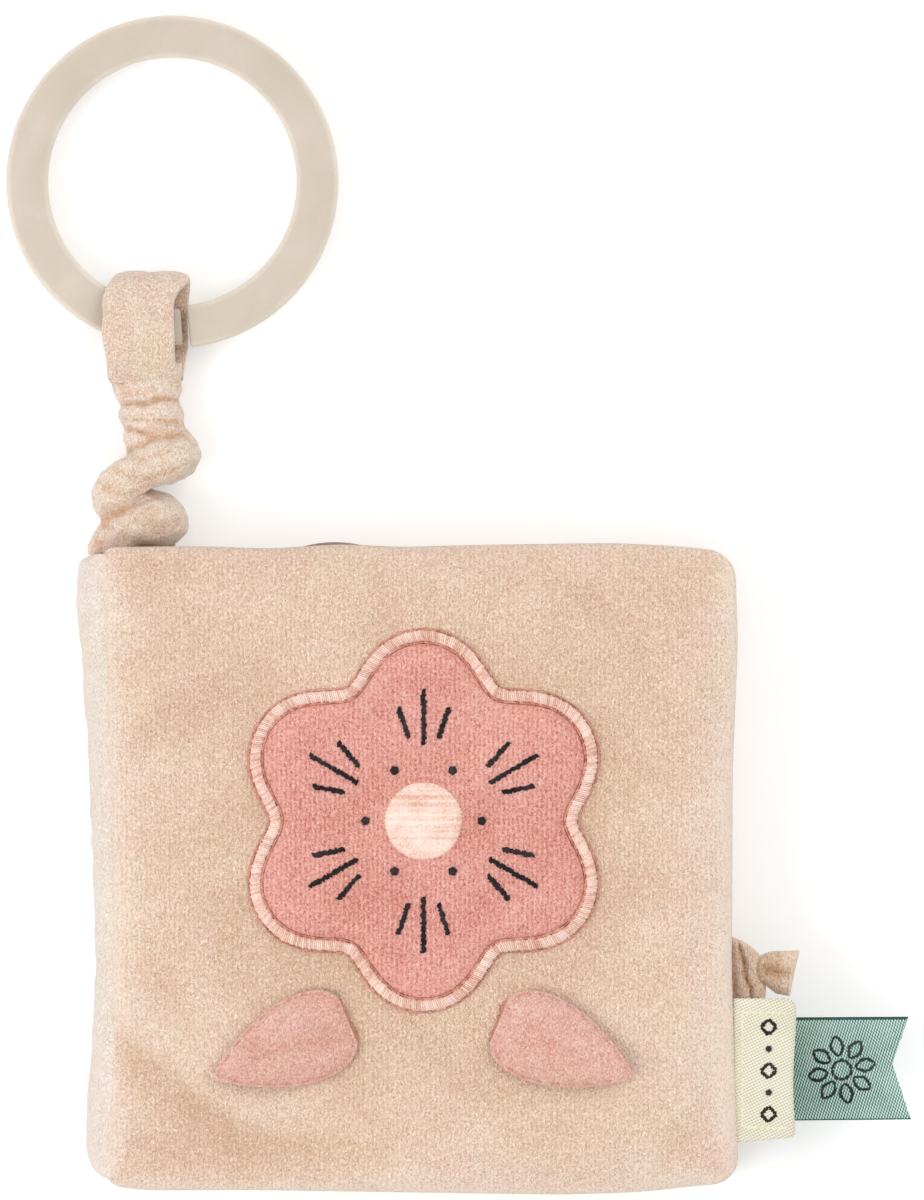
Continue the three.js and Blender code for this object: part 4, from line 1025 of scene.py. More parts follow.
def flap_mesh(root, heading, seed):
    """A pointed padded leaf, sewn along its edge; rings from the middle outwards."""
    along = (1 - np.cos(np.linspace(0, math.pi, 90))) / 2
    swell = np.sin(math.pi * along ** 0.75) ** 0.75
    half = FLAP_BASE / 2 * (1 - along) ** 3 + FLAP_WIDTH / 2 * np.nan_to_num(swell)
    upper = np.column_stack([along * FLAP_LENGTH, half])
    ring = np.vstack([upper, upper[-2::-1] * [1, -1]])
    middle = np.array([FLAP_LENGTH * 0.42, 0.0])
    c, s = math.cos(heading), math.sin(heading)
    rings = []
    for share, up in FLAP_RINGS:
        out, side = (middle + (ring - middle) * share).T
        soft = min(1.0, (1.02 - share) * 3)
        bump = 0.22 * ripple(out, side, 4.5, seed) * soft * (up > 0)
        crease = 0.5 * bell(side - 0.3 * np.sin(out / 4), 0.8) * (up > 0) * soft
        crease = crease * ease(out, 1, 7) * (1 - ease(out, 14, 23))
        pull = 0.16 * np.sin(out * 2.1 + seed) * (0.85 < share < 0.96)
        tip = 1.5 * ease(out, 9, 28) ** 1.4
        x, y = root[0] + out * c - side * s, root[1] + out * s + side * c
        rings.append(stacked(x, y, cover_top(x, y) + 1.0 + up + tip + bump - crease + pull))
    return swept(rings)


for side_name, root, heading, seed in (("left", (-11.3, -29.0), math.pi * 1.125, 61),
                                       ("right", (17.7, -29.0), -math.pi * 0.125, 62)):
    direction = np.array([math.cos(heading), math.sin(heading)])
    base = np.array(root) * MM
    start = (*(base - 0.0005 * direction), 0.0277)
    end = (*(base + 0.0045 * direction), 0.0277)
    piece(f"flap_{side_name}_plush", flap_mesh(root, heading, seed), coral_light, None, "coral",
          [f"flap_{side_name}"], ("front_cover", f"{side_name}_flap", start, end), 0.6)
    tack = np.array(root) + direction * 0.2
    across = 4.4 * np.array([-direction[1], direction[0]])
    piece(f"flap_{side_name}_tack",
          stroke(tack + across, tack - across, 0.8, 1.2, cover_top, 70, 0.4), edge_thread,
          "front_cover", "satin")

# Woven labels
CREAM_Y, CREAM_HALF = -38.7, 13.9
CREAM_START, CREAM_BEND = 62.9, 0.85  # where the tape leaves the seam, and its fold's radius
GREEN_Y, GREEN_HALF = -38.7, 10.0
GREEN_START, GREEN_NOTCH = 62.2, 93.8  # where the tape leaves the seam, and its end's notch


def cream_fold(y):
    """How far the label's fold stands out at a height."""
    corner = np.clip((y - CREAM_Y - CREAM_HALF + 2.3) / 2.3, 0, 1)
    low = np.clip((CREAM_Y - CREAM_HALF + 2.0 - y) / 2.0, 0, 1)
    return (74.75 - 1.7 * (1 - np.sqrt(1 - corner ** 2)) - 0.7 * (1 - np.sqrt(1 - low ** 2))
            - 0.3 * np.cos((y - CREAM_Y + 3) / 5))


def cream_level(share, y):
    """The height of the folded label's middle, and how far its faces lie from that."""
    middle = FRONT_Z + 0.15 * np.sin(share * 3 + y / 9) + 0.25 * ease(share, 0.3, 1)
    return middle, 0.28 + 0.52 * ease(share, 0, 0.35)


def cream_mesh():
    """One tape that goes out, turns over and comes back into the seam."""
    tape = 0.5
    y = np.linspace(CREAM_Y - CREAM_HALF, CREAM_Y + CREAM_HALF, 90)
    body = cream_fold(y) - CREAM_BEND - CREAM_START
    run = np.linspace(0, 1, 26)
    columns = [(share, 1, 0.0) for share in run]
    columns += [(1.0, math.cos(a), math.sin(a)) for a in np.linspace(0, math.pi, 9)[1:-1]]
    columns += [(share, -1, 0.0) for share in run[::-1]]
    outer, inner = [], []
    for share, level, out in columns:
        middle, half = cream_level(share, y)
        x = CREAM_START + body * share + out * CREAM_BEND
        yy = y - share * np.clip((y - CREAM_Y) / CREAM_HALF, -1, 0)
        outer.append(stacked(x, yy, middle + level * half))
        inner.append(stacked(x - out * tape, yy, middle + level * max(half - tape, 0.02)))
    return shell(np.array(outer), np.array(inner))


def cream_top(x, y):
    """Height of the cream label's upper face."""
    share = np.clip((np.asarray(x) - CREAM_START) / 11.0, 0, 1)
    return sum(cream_level(share, np.asarray(y)))


cream = piece("cream_label_tape", cream_mesh(), cream_twill, None, "cream_tape", ["cream_label"])
marks = []
for i in range(5):
    x, y = 69.7, CREAM_Y - 8.4 + i * 4.2
    if i % 2:
        marks.append(knot(x, y, 0.62, cream_top, i))
    else:
        tips = [polar(x, y, a, 1.5) for a in around(4)]
        marks += [stroke(tips[k], tips[(k + 1) % 4], 0.38, 0.28, cream_top, 80 + k + i, 0.26)
                  for k in range(4)]
cream_marks = piece("cream_label_motif", joined(marks), black_thread, None, "satin")
box = [(64.6, CREAM_Y + 11.2), (73.0, CREAM_Y + 11.0), (64.6, CREAM_Y - 10.9),
       (73.0, CREAM_Y - 11.1)]
seams = [stroke(box[a], box[b], 0.25, 0.16, cream_top, 140 + a, 0.42)
         for a, b in ((0, 1), (2, 3), (0, 2))]
cream_seams = piece("cream_label_seams", joined(seams), cream_thread, None, "satin")


def green_height(x, y):
    """Height of the green label's middle."""
    x, y = np.asarray(x, float), np.asarray(y, float)
    return PAGE_Z + 0.25 * np.sin((x - 63) / 8) + 0.12 * ripple(x, y, 9, 66)


def green_top(x, y):
    """Height of its upper face."""
    return green_height(x, y) + 0.3


def green_mesh():
    """A single tape with a swallowtail end."""
    notch_y = 0.08
    y = np.linspace(-1, 1, 60)
    tip = GREEN_NOTCH + np.where(y > notch_y, 3.1 * (y - notch_y) / (1 - notch_y),
                                 3.6 * (notch_y - y) / (1 + notch_y))
    grid = []
    for share in np.linspace(0, 1, 80):
        low, high = GREEN_Y - GREEN_HALF + 0.3 * share, GREEN_Y + GREEN_HALF + 0.15 * share
        x = GREEN_START + (tip - GREEN_START) * share
        yy = low + (high - low) * (y + 1) / 2
        fray = 0.05 * ripple(yy * 7, yy, 1, 3) * (share > 0.995)
        grid.append(stacked(x + fray, yy, green_height(x, yy)))
    grid, half = np.array(grid), np.array([0, 0, 0.3])
    return shell(grid + half, grid - half)


green = piece("green_label_tape", green_mesh(), green_twill, None, "green_tape", ["green_label"])
DAISY = (84.0, -38.8)
sprigs = []
for k in range(8):
    a = k * TURN / 8 + 0.2
    for bend in (1.15, -1.15):
        sprigs.append(stroke(polar(*DAISY, a, 2.6), polar(*DAISY, a, 6.7), 0.34, 0.28, green_top,
                             90 + k, 0.26, bend))
middle = [polar(*DAISY, a, 1.9) for a in around(10)]
for k in range(10):
    sprigs.append(stroke(middle[k], middle[(k + 1) % 10], 0.34, 0.28, green_top, 110 + k, 0.26))
green_marks = piece("green_label_motif", joined(sprigs), green_thread, None, "satin")

for obj, parent, child, z in ((cream, "front_cover", "cream_label", 0.0221),
                              (cream_marks, "front_cover", "cream_label", 0.0221),
                              (cream_seams, "front_cover", "cream_label", 0.0221),
                              (green, "page", "green_label", 0.0132),
                              (green_marks, "page", "green_label", 0.0132)):
    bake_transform(obj)

# Tail
TAIL_X, TAIL_Y = 61.4, -13.0  # where the pleated band begins
PLEAT = 3.07  # millimetres from one crease to the next


def tail_root():
    """The pleated band that hangs from the fore edge and runs down behind the cream label."""
    y = np.linspace(TAIL_Y, -26.9, 90)
    right = curve_through([-26.9, -24.8, -20, -16.2, -15.2, -14.2, TAIL_Y],
                          [69.6, 69.4, 68.8, 68.1, 67.0, 65.4, 62.6], y[::-1])[::-1]
    t = around(96)
    u, v, relief = rounded(np.cos(t), 0.75), rounded(np.sin(t), 0.6), rounded(np.sin(t), 0.5)
    rings = []
    for here, edge in zip(y, np.maximum(right, 62.4)):
        half = (edge - TAIL_X) / 2
        tall = 2.5 * min(1.0, half / 2.0) * (1 - 0.35 * ease(-here, 24, 27))
        x = (edge + TAIL_X) / 2 + u * half
        run = x - TAIL_X + 0.23 * (here - TAIL_Y)
        pleat = 0.85 * np.abs(np.sin((run - 2.36) * math.pi / PLEAT)) ** 0.5 - 0.35
        pleat = pleat * ease(x, 62.5, 64) * np.clip(1.2 - np.abs(u), 0, 1)
        sway = 0.18 * math.sin(here * 1.3) * ease(x, 62, 66)
        rings.append(stacked(x + sway, here, PAGE_Z + v * tall + pleat * relief))
    return swept(rings)


def tail_tip():
    """The flared cut end that stands out of the pleats."""
    start, knots = 67.2, [0, 0.2, 0.35, 0.6, 1]
    along = np.linspace(0, 1, 70)
    top = curve_through(knots, [-17.2, -16.4, -15.9, -15.8, -15.7], along)
    low = curve_through(knots, [-21.6, -21.9, -22.9, -24.1, -24.55], along)
    tall = np.interp(along, [0, 0.15, 0.5, 0.93, 0.98, 1], [1.6, 2.3, 2.2, 1.9, 1.5, 0.9])
    t = around(64)
    u, v, relief = rounded(np.cos(t), 0.7), rounded(np.sin(t), 0.65), rounded(np.sin(t), 0.5)
    rings = []
    for share, top_y, low_y, half in zip(along, top, low, tall):
        y = (top_y + low_y) / 2 + (top_y - low_y) / 2 * u
        far = 75.7 + 1.9 * (y + 15.8) / 9 - 0.15 * np.cos(u * 3)
        dent = -0.55 * bell(y + 19.0 + 1.4 * share, 1.1) * ease(share, 0.1, 0.3)
        rim = 0.3 * bell(share - 0.93, 0.03)
        rings.append(stacked(start + (far - start) * share, y,
                             PAGE_Z + 0.5 + v * half + (dent + rim) * relief))
    return swept(rings)


for name, shape, node in (("tail_pleats_plush", tail_root(), "tail_pleats"),
                          ("tail_end_plush", tail_tip(), "tail_end")):
    piece(name, shape, tan, None, "tan", [node],
          ("page", "tail", (0.0622, -0.0188, 0.0132), (0.0655, -0.0188, 0.0132)), 0.6)

# Tab over the top edge
TAB_X, TAB_Y, TAB_R = LEAF_X - 17.2, 40.7, 22.5
# How far in from the tab's outline, and how far above its middle
TAB_SECTION = [(0.0, 0.0), (0.12, 0.45), (0.45, 0.8), (1.0, 1.0), (1.6, 0.85), (2.2, 0.95),
               (6.0, 1.0)]


def tab_mesh():
    """The arc of the tab that shows, with a groove along its rim."""
    section = TAB_SECTION + [(inset, -lift) for inset, lift in TAB_SECTION[:0:-1]]
    return swept([[(*polar(TAB_X, TAB_Y, a, TAB_R - inset), PAGE_Z + lift)
                   for inset, lift in section]
                  for a in np.linspace(math.radians(18), math.radians(162), 80)])


piece("page_tab_cloth", tab_mesh(), mauve_cloth, "page", "mauve", ["page_tab"], pad=0.4)

# Ring
RING_X, RING_Y, STRAP_Z = -45.5, 133.0, 5.9
RING_OUT, RING_IN, RING_THICK = 32.2, 24.05, 4.2
RING_MIDDLE = (RING_OUT + RING_IN) / 2
RING_FLAT = 2.9  # how far each side of its middle the ring is flat


def ring_mesh():
    """An open hoop of moulded plastic: rounded square section, one end a slimmer tongue."""
    half_w, half_h, corner = (RING_OUT - RING_IN) / 2, RING_THICK / 2, 1.15
    gap, tongue = 1.3 / RING_MIDDLE, 4.0 / RING_MIDDLE
    start = math.pi * -0.472 + gap / 2
    end = start + TURN - gap - tongue
    # angles along the hoop, and how much is trimmed off its section there
    stops = [(start, 0.35), (start + 0.004, 0.12), (start + 0.012, 0.0)]
    stops += [(a, 0.0) for a in np.linspace(start + 0.03, end - 0.03, 260)]
    stops += [(end - 0.012, 0.0), (end - 0.004, 0.12), (end, 0.35), (end + 0.003, 0.5)]
    stops += [(end + tongue * share, trim)
              for share, trim in ((0.6, 0.5), (0.9, 0.55), (0.98, 0.75), (1, 1.0))]
    rings = []
    for angle, trim in stops:
        section = []
        for quarter, (sx, sz) in enumerate(((1, 1), (-1, 1), (-1, -1), (1, -1))):
            for a in (quarter + np.linspace(0, 1, 6)) * math.pi / 2:
                w = sx * (half_w - trim - corner) + corner * math.cos(a)
                z = sz * (half_h - trim - corner) + corner * math.sin(a)
                section.append([*polar(RING_X, RING_Y, angle, RING_MIDDLE + w), STRAP_Z + z])
        rings.append(section)
    return swept(rings)


piece("ring_moulded", ring_mesh(), ring_plastic, "ring", "ring_plastic", ["ring"])

# Strap
TABLE = 0.05  # the strap's cloth keeps this far above the table


def superellipse(count, half_w, half_h, power):
    """A ring's places across and up."""
    t = around(count)
    return rounded(np.cos(t), 2 / power) * half_w, rounded(np.sin(t), 2 / power) * half_h


def catmull(points, count):
    """A smooth line of count points through control points."""
    points = np.asarray(points, float)
    ends = np.vstack([2 * points[0] - points[1], points, 2 * points[-1] - points[-2]])
    line = []
    for t in np.linspace(0, len(points) - 1, count):
        i = min(int(t), len(points) - 2)
        u = t - i
        a, b, c, d = ends[i:i + 4]
        line.append(0.5 * (2 * b + (c - a) * u + (2 * a - 5 * b + 4 * c - d) * u ** 2
                           + (3 * b - a - 3 * c + d) * u ** 3))
    return np.array(line)


def tube(controls, radii, count):
    """A round tube along a line, its radius set at each control point."""
    line = catmull(controls, count)
    step = np.linspace(0, len(radii) - 1, count)
    radius = np.interp(step, np.arange(len(radii)), radii)
    tangent = np.gradient(line, axis=0)
    tangent /= np.linalg.norm(tangent, axis=1)[:, None]
    angle = around(48)[:, None]
    rings = []
    for p, t, r, k in zip(line, tangent, radius, step):
        side_dir = np.cross(t, (0, 0, 1.0))
        side_dir /= max(np.linalg.norm(side_dir), 1e-9)
        other = np.cross(side_dir, t)
        # folds that run along the rolled cloth and wind slowly round it
        folds = 1 + 0.05 * (0.6 * np.cos(3 * angle + 0.9 * k) + 0.4 * np.cos(7 * angle - 1.3 * k)
                            * math.sin(1.7 * k + 0.5) + 0.5 * math.sin(2.3 * k) ** 3)
        rings.append(p + r * folds * (np.cos(angle) * side_dir + np.sin(angle) * other))
    return swept(rings)


def neck_sweep():
    """The flat gathered length below the loop."""
    along = np.linspace(80.0, 98.0, 110)
    knots = [80, 83, 87.7, 90, 92.5, 95, 97.4, 99]
    left = curve_through(knots, [-54.6, -54.9, -56.1, -55.9, -57.1, -58.0, -58.0, -58.0], along)
    right = curve_through(knots, [-43.2, -42.9, -43.0, -44.0, -43.5, -43.6, -43.6, -43.6], along)
    rings = []
    for y, left_x, right_x in zip(along, left, right):
        half_w = (right_x - left_x) / 2
        c, s = superellipse(72, half_w, 1.0, 2.3)
        u = c / half_w
        # soft rolls one above the other, with slanting creases between them
        here = y + 1.1 * u * np.sin(y / 3.1) + 0.25 * np.sin(u * 5 + y)
        groove = sum(depth * bell(here - crease, wide) for crease, depth, wide in (
            (95.0, 0.8, 0.45), (90.2, 1.5, 0.6), (86.9, 0.75, 0.5), (84.2, 1.5, 0.8)))
        half_h = np.interp(y, [80, 84, 90, 95, 99], [3.6, 4.4, 4.2, 4.3, 4.6]) - groove
        rings.append(stacked((left_x + right_x) / 2 + c * (1 - 0.045 * groove), y,
                             STRAP_Z + s * half_h))
    return swept(rings)


def root_sweep():
    """The flared end that is sewn into the back cover's top seam."""
    rings = []
    for share in np.linspace(0, 1, 24):
        half_w = np.interp(share, [0, 0.3, 1], [8.4, 8.6, 6.2])
        half_h = np.interp(share, [0, 0.25, 1], [1.6, 3.2, 3.6])
        c, s = superellipse(48, half_w, half_h, 2.3)
        folds = 0.5 * np.cos(c * 1.3) * np.sign(s) * min(share * 3, 1)
        rings.append(stacked(-53.4 + 0.6 * share + c, 60.6 + 7.4 * share,
                             4.3 + share + s + folds))
    return swept(rings)


helix = [(-49.6, 86.0, 5.9), (-47.6, 83.4, 5.0), (-45.5, 81.4, 4.9), (-44.8, 79.7, 6.4),
         (-48.2, 78.7, 8.6), (-52.4, 76.5, 9.0), (-55.6, 73.9, 7.8), (-56.4, 71.4, 5.6),
         (-54.0, 69.6, 4.4), (-50.2, 69.2, 4.3), (-47.2, 68.4, 4.9), (-46.8, 66.9, 6.4),
         (-49.6, 67.0, 8.2), (-53.2, 65.9, 7.8), (-55.6, 63.6, 6.2), (-55.8, 61.4, 5.0)]
helix_radii = [4.4, 4.5, 4.6, 4.6, 4.3, 4.0, 4.3, 4.5, 4.3, 4.2, 4.2, 4.3, 4.1, 4.0, 3.9, 3.3]


def fused(name, shapes, voxel):
    """Bodies joined into one closed skin by a voxel remesh, then smoothed."""
    points, faces = joined(shapes)
    mesh = bpy.data.meshes.new(name)
    mesh.from_pydata((points * MM).tolist(), [], faces)
    obj = bpy.data.objects.new(name, mesh)
    scene.collection.objects.link(obj)
    remesh = obj.modifiers.new("remesh", "REMESH")
    remesh.mode = "VOXEL"
    remesh.voxel_size = voxel * MM
    smooth = obj.modifiers.new("smooth", "SMOOTH")
    smooth.factor = 0.5
    smooth.iterations = 4
    result = evaluated(obj)
    bpy.data.objects.remove(obj)
    return result


def gathered(mesh):
    """Gathers and creases pressed into a fused skin, in place."""
    co, no = read(mesh) / MM, read(mesh, "normal")
    # folds across the strap: stretched along the way that the gathers wind
    squeezed = co * [0.45, 1.25, 0.7] + np.outer(co[:, 0], [0, 0.45, 0])
    push = 0.11 * ripple3(squeezed, 2.6, 301) + 0.05 * ripple3(co, 1.3, 302)
    push += 0.03 * ripple3(co, 0.5, 303)
    co = co + no * push[:, None]
    co[:, 2] = np.maximum(co[:, 2], TABLE)
    mesh.vertices.foreach_set("co", (co * MM).astype(np.float32).ravel())
    mesh.update()
    return mesh


def slice_between(mesh, name, low, high):
    """The part of a mesh between two heights along the strap, closed where it is cut."""
    work = bmesh.new()
    work.from_mesh(mesh)
    for height, way in ((low, -1), (high, 1)):
        if height is None:
            continue
        geometry = work.verts[:] + work.edges[:] + work.faces[:]
        found = bmesh.ops.bisect_plane(work, geom=geometry, plane_co=(0, height * MM, 0),
                                       plane_no=(0, way, 0), clear_outer=True, dist=1e-7)
        rim = [e for e in found["geom_cut"] if isinstance(e, bmesh.types.BMEdge)]
        filled = bmesh.ops.triangle_fill(work, edges=rim, use_dissolve=False, use_beauty=True)
        for item in filled["geom"]:
            if isinstance(item, bmesh.types.BMFace):
                item.smooth = False
        for edge in rim:
            if edge.is_valid:
                edge.smooth = False
    result = bpy.data.meshes.new(name)
    work.to_mesh(result)
    work.free()
    result.update()
    return result


strap_skin = gathered(fused("strap_skin", [tube(helix, helix_radii, 180), neck_sweep(),
                                           root_sweep()], 0.42))
strap_skin.polygons.foreach_set("use_smooth", [True] * len(strap_skin.polygons))
LOWER_CUT, UPPER_CUT = 71.2, 88.6
for name, low, high, node, parent, child, x, start_y, end_y in (
        ("strap_root_plush", None, LOWER_CUT, "strap_anchor", "back_cover", "strap_bulge", -0.052,
         0.0628, 0.0705),
        ("strap_gathers_plush", LOWER_CUT, UPPER_CUT, "sleeve_lower", "strap_bulge",
         "strap_sleeve", -0.0506, 0.0795, 0.0882),
        ("strap_neck_plush", UPPER_CUT, None, "sleeve_upper", "strap_sleeve", "strap_loop",
         -0.0506, 0.0888, 0.0955)):
    dress(name, slice_between(strap_skin, name, low, high), strap_velour, None, "plush", [node],
          (parent, child, (x, start_y, 0.0059), (x, end_y, 0.0059)), 0.6)


def loop_mesh():
    """The strap's end: a flat double cloth that goes over the ring and back under it."""
    steps, sides = 170, 72
    path = catmull([(94.9, 7.7), (97.0, 9.4), (100.0, 10.5), (104.5, 10.8), (109.0, 10.6),
                    (112.4, 9.3), (114.2, 6.0), (112.4, 2.7), (109.0, 1.7), (104.0, 1.6),
                    (100.0, 1.8), (97.0, 2.8), (94.9, 4.2)], steps)
    along = np.linspace(0, 1, steps)
    kernel = np.hanning(15) / np.hanning(15).sum()
    centre_x, half_w = [
        np.convolve(np.pad(np.interp(along, *line), 7, mode="edge"), kernel, mode="valid")
        for line in (([0, 0.1, 0.25, 0.36, 0.47, 0.58, 0.75, 1],
                      [-50.9, -51.3, -52.2, -51.9, -49.9, -49.3, -49.2, -50.2]),
                     ([0, 0.06, 0.12, 0.3, 0.4, 0.5, 0.6, 0.85, 1],
                      [7.1, 7.0, 6.7, 6.95, 7.1, 7.5, 7.0, 6.7, 6.8]))]
    tangent = np.gradient(path, axis=0)
    tangent /= np.linalg.norm(tangent, axis=1)[:, None]
    rings = []
    for (y, z), (along_y, along_z), x, half, share in zip(path, tangent, centre_x, half_w, along):
        c, s = superellipse(sides, half, 1.6, 2.5)
        u = c / half
        # the double cloth is thicker at its folded edges than in between
        s = s * (1 + 0.16 * u ** 2) + 0.3 * (1 - u ** 2) - 0.12
        s = s + 0.2 * np.sin(u * 2.2 + share * 9) * (1 - np.abs(u))
        rings.append(stacked(x + c, y - along_z * s, z + along_y * s))
    rings = np.array(rings)
    flat = rings.reshape(-1, 3)
    away = flat - np.repeat(np.column_stack([centre_x, path]), sides, 0)
    away /= np.maximum(np.linalg.norm(away, axis=1), 1e-9)[:, None]
    push = 0.09 * ripple3(flat, 3.6, 311) + 0.025 * ripple3(flat, 0.6, 312)
    flat = flat + away * push[:, None]
    flat[:, 2] = np.maximum(flat[:, 2], TABLE)
    return swept(flat.reshape(rings.shape))


piece("strap_loop_plush", loop_mesh(), strap_velour, "strap_loop", "plush", ["strap_loop"],
      pad=0.5)


def elastic_mesh():
    """The ribbed elastic inside the strap."""
    rings = []
    for y in np.linspace(80.6, 95.6, 60):
        c, s = superellipse(24, 3.0, 0.6, 4)
        rings.append(stacked(-50.6 + c, y, STRAP_Z + s + 0.08 * np.cos(y * 5) * np.sign(s)))
    return swept(rings)


piece("strap_elastic_band", elastic_mesh(), elastic_cloth, None, "elastic", ["strap_elastic"],
      ("strap_sleeve", "strap_loop", (-0.0506, 0.0885, 0.0059), (-0.0506, 0.0952, 0.0059)))

# Window binding
out = np.array([polar(0, 0, a, 1) for a in around(360)])
path = np.column_stack([(WINDOW + BINDING / 2) * out + (LEAF_X, MIRROR_Y),
                        np.full(360, PAGE_TOP - 1.15)])
binding = piece("mirror_binding_satin",
                stitched_band(path, out, BINDING / 2, 1.0, 0.42, True, 9), satin, "page", "satin",
                ["mirror_window_binding"])
tell_stitches(binding, 7, 0.45, 13)

# Rigid nodes that stay
RIGID = {"mirror": mirror_film, "crinkle_foil": foil_film, "squeaker_bulb": bellows_plastic,
         "squeaker_reed": bellows_plastic}
for node, material in RIGID.items():
    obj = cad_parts[node]
    obj.data.materials.clear()
    obj.data.materials.append(material)

# Painted light and shade, and the own tones of some parts


def cover_painted_light(co):
    """Painted light on the cover: painted sheen along its rims, painted shade under the fold,
    painted highlights on the fold's ridge and on raised folds; it is also lighter towards the
    lower right corner.
    """
    x, y = co[:, 0], co[:, 1]
    left, right, top, bottom = (line(v) for line, v in zip(side_lines(0.0), (y, y, x, x)))
    away, along = from_fold(x, y)
    fades = 1 - ease(along, 0.8, 1.2)
    # rim: painted sheen along the rolled rims, with a little more on the left edge
    edges = [(1.2, x - left), (1.8, right - x), (0.55, top - y), (1.1, y - bottom)]
    rim = np.maximum.reduce([most * np.exp(-np.clip(gap, 0, None) / 3.2) for most, gap in edges])
    rim = rim + 0.12 * np.exp(-(x - left) / 5)
    rim = rim + 0.25 * ease(x, 5, 60) * (1 - ease(y, -30, 30))
    # below: painted shade under the fold; above: painted highlight on its ridge
    below = -0.55 * ease(away, -0.5, 2.5) * (1 - ease(away, 3, 14)) * fades
    above = 0.16 * bell(away + 5, 4.5) * fades
    # painted highlight where the simulated folds rise, painted shade where they sink
    return rim + below + above + 0.2 * np.clip(simulated(x, y), -0.6, 0.8)


def hollows(mesh, rounds=30):
    """How far each point lies below (or, negative, above) the smoothed surface, in mm."""
    edges = np.zeros(len(mesh.edges) * 2, np.int32)
    mesh.edges.foreach_get("vertices", edges)
    a, b = edges.reshape(-1, 2).T
    count = len(mesh.vertices)
    start = read(mesh) / MM
    smooth = start.copy()
    degree = np.maximum(np.bincount(a, minlength=count) + np.bincount(b, minlength=count), 1)
    for _ in range(rounds):
        total = np.column_stack([np.bincount(a, smooth[b, axis], count)
                                 + np.bincount(b, smooth[a, axis], count) for axis in range(3)])
        smooth += 0.5 * (total / degree[:, None] - smooth)
    return ((smooth - start) * read(mesh, "normal")).sum(1)


def paint_rims_and_creases(obj, level, rim, crease):
    """Pile with a painted highlight on rolled edges, where its tips catch the light, and painted
    shade in creases.

    The level is one number or a function of where the points lie.
    """
    lying = np.abs(read(obj.data, "normal")[:, 2])
    depth = hollows(obj.data) if crease else 0.0
    # rim sets the painted highlight where the surface faces sideways, crease the painted shade in
    # hollows
    painted_rim_and_crease = rim * (1 - lying) ** 1.6 - crease * np.clip(depth, -0.2, 0.6)
    paint_tone_and_light(obj, lambda co: (level(co) if callable(level) else level) + painted_rim_and_crease)


def tail_end_painted_highlight(co):
    """Painted highlight: the tail's cut end turns up and shows a paler band."""
    return 0.75 * ease(co[:, 0], 71.6, 73.3) - 0.2


def ring_painted_highlight(co):
    """Painted highlight: the ring is paler where its flat faces round off."""
    off = np.abs(np.hypot(co[:, 0] - RING_X, co[:, 1] - RING_Y) - RING_MIDDLE)
    return np.clip((off - RING_FLAT) / 1.0, 0, 1)


def eye_threads(co):
    """Each thread of the flower's eye has its own tone."""
    tones = np.random.default_rng(14).uniform(-0.55, 0.4, 64)
    return tones[((co[:, 1] - FLOWER_Y + EYE_R + 1) / EYE_THREAD).astype(int)]


def selvedges(co):
    """The green tape is darker along its woven edges."""
    return -0.5 * (np.abs(co[:, 1] - GREEN_Y) > GREEN_HALF - 0.35)


# Painted highlights on the ring and painted light on the cover; each eye thread's own tone and the
# green tape's darker selvedges
for name, value in (("ring_moulded", ring_painted_highlight), ("front_cover_plush", cover_painted_light),
                    ("flower_eye_satin", eye_threads), ("green_label_tape", selvedges)):
    paint_tone_and_light(bpy.data.objects[name], value)
# Each part's tone level, its painted highlight on rolled edges and its painted shade in creases
for name, level, rim, crease in (
        ("strap_root_plush", -0.3, 0.9, 4.0), ("strap_gathers_plush", -0.35, 0.9, 4.0),
        ("strap_neck_plush", -0.3, 0.9, 4.0), ("strap_loop_plush", 0.1, 0.8, 1.5),
        ("flower_patch_plush", 0.0, 0.5, 1.0), ("tail_pleats_plush", 0.1, 1.3, 4.0),
        ("tail_end_plush", tail_end_painted_highlight, 1.4, 2.5), ("spine_cloth_lower", 0.0, 0.4, 0),
        ("spine_cloth_upper", 0.0, 0.4, 0), ("flap_left_plush", 0.0, 0.9, 1.2),
        ("flap_right_plush", 0.0, 0.9, 1.2)):
    paint_rims_and_creases(bpy.data.objects[name], level, rim, crease)

# Where each point lies at rest, for the materials
for obj in made + [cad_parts[node] for node in RIGID]:
    mesh = obj.data
    rest = mesh.attributes.get("rest") or mesh.attributes.new("rest", "FLOAT_VECTOR", "POINT")
    rest.data.foreach_set("vector", read(mesh).astype(np.float32).ravel())

# Stage
FLOOR_HALF, FLOOR_Z = 12.0, -0.0003  # in metres


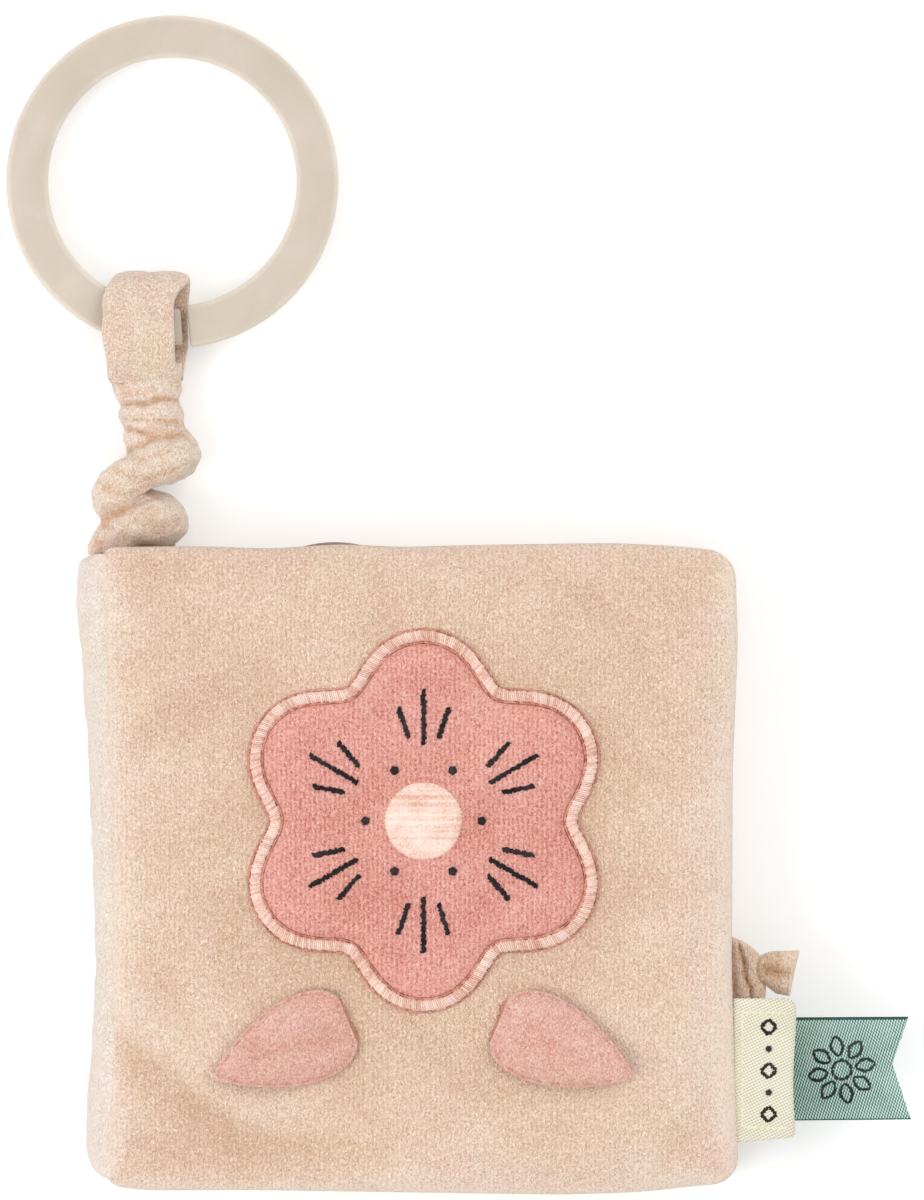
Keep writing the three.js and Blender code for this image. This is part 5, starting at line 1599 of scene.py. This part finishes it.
def seen(tree):
    """1 for rays that see a thing, 0 for those that only gather its light."""
    rays = tree.nodes.new("ShaderNodeLightPath").outputs
    value = rays["Is Camera Ray"]
    for ray in ("Is Glossy Ray", "Is Transmission Ray"):
        either = tree.nodes.new("ShaderNodeMath")
        either.operation = "MAXIMUM"
        tree.links.new(value, either.inputs[0])
        tree.links.new(rays[ray], either.inputs[1])
        value = either.outputs[0]
    return value


floor_mesh = bpy.data.meshes.new("floor")
floor_mesh.from_pydata([(x * FLOOR_HALF, y * FLOOR_HALF, FLOOR_Z)
                        for x, y in ((-1, -1), (1, -1), (1, 1), (-1, 1))], [], [(0, 1, 2, 3)])
floor = bpy.data.objects.new("floor", floor_mesh)
scene.collection.objects.link(floor)
floor_nodes = Nodes("floor")
floor_nodes.finish((0.88, 0.88, 0.88, 1.0), None, 1.0, specular=0.0)
floor_nodes.shader.inputs["Emission Color"].default_value = (1, 1, 1, 1)
floor_nodes.link(floor_nodes.math("MULTIPLY", seen(floor_nodes.tree), 0.3),
                 floor_nodes.shader.inputs["Emission Strength"])
floor_mesh.materials.append(floor_nodes.material)

# The backdrop is white where it is seen, and lights the book a little less
world = bpy.data.worlds.new("studio")
scene.world = world
world.use_nodes = True
background = world.node_tree.nodes["Background"]
world_level = world.node_tree.nodes.new("ShaderNodeMapRange")
world_level.inputs["To Min"].default_value = 0.72
world_level.inputs["To Max"].default_value = 1.0
world.node_tree.links.new(seen(world.node_tree), world_level.inputs["Value"])
world.node_tree.links.new(world_level.outputs[0], background.inputs["Strength"])
background.inputs["Color"].default_value = (1, 1, 1, 1)


def lamp(name, azimuth, elevation, distance, size, power):
    """A soft square lamp that looks at the middle of the book."""
    data = bpy.data.lights.new(name, "AREA")
    data.shape = "SQUARE"
    data.size = size
    data.energy = power
    obj = bpy.data.objects.new(name, data)
    a, e = math.radians(azimuth), math.radians(elevation)
    target = Vector((0.0, 0.02, 0.0))
    back = Vector((math.cos(a) * math.cos(e), math.sin(a) * math.cos(e), math.sin(e)))
    obj.location = target + back * distance
    obj.rotation_mode = "QUATERNION"
    obj.rotation_quaternion = (-back).to_track_quat("-Z", "Y")
    scene.collection.objects.link(obj)


lamp("key", 205, 44, 1.4, 0.8, 7.4)
lamp("fill", 42, 38, 1.6, 1.2, 7.4)

scene.view_settings.view_transform = "Standard"
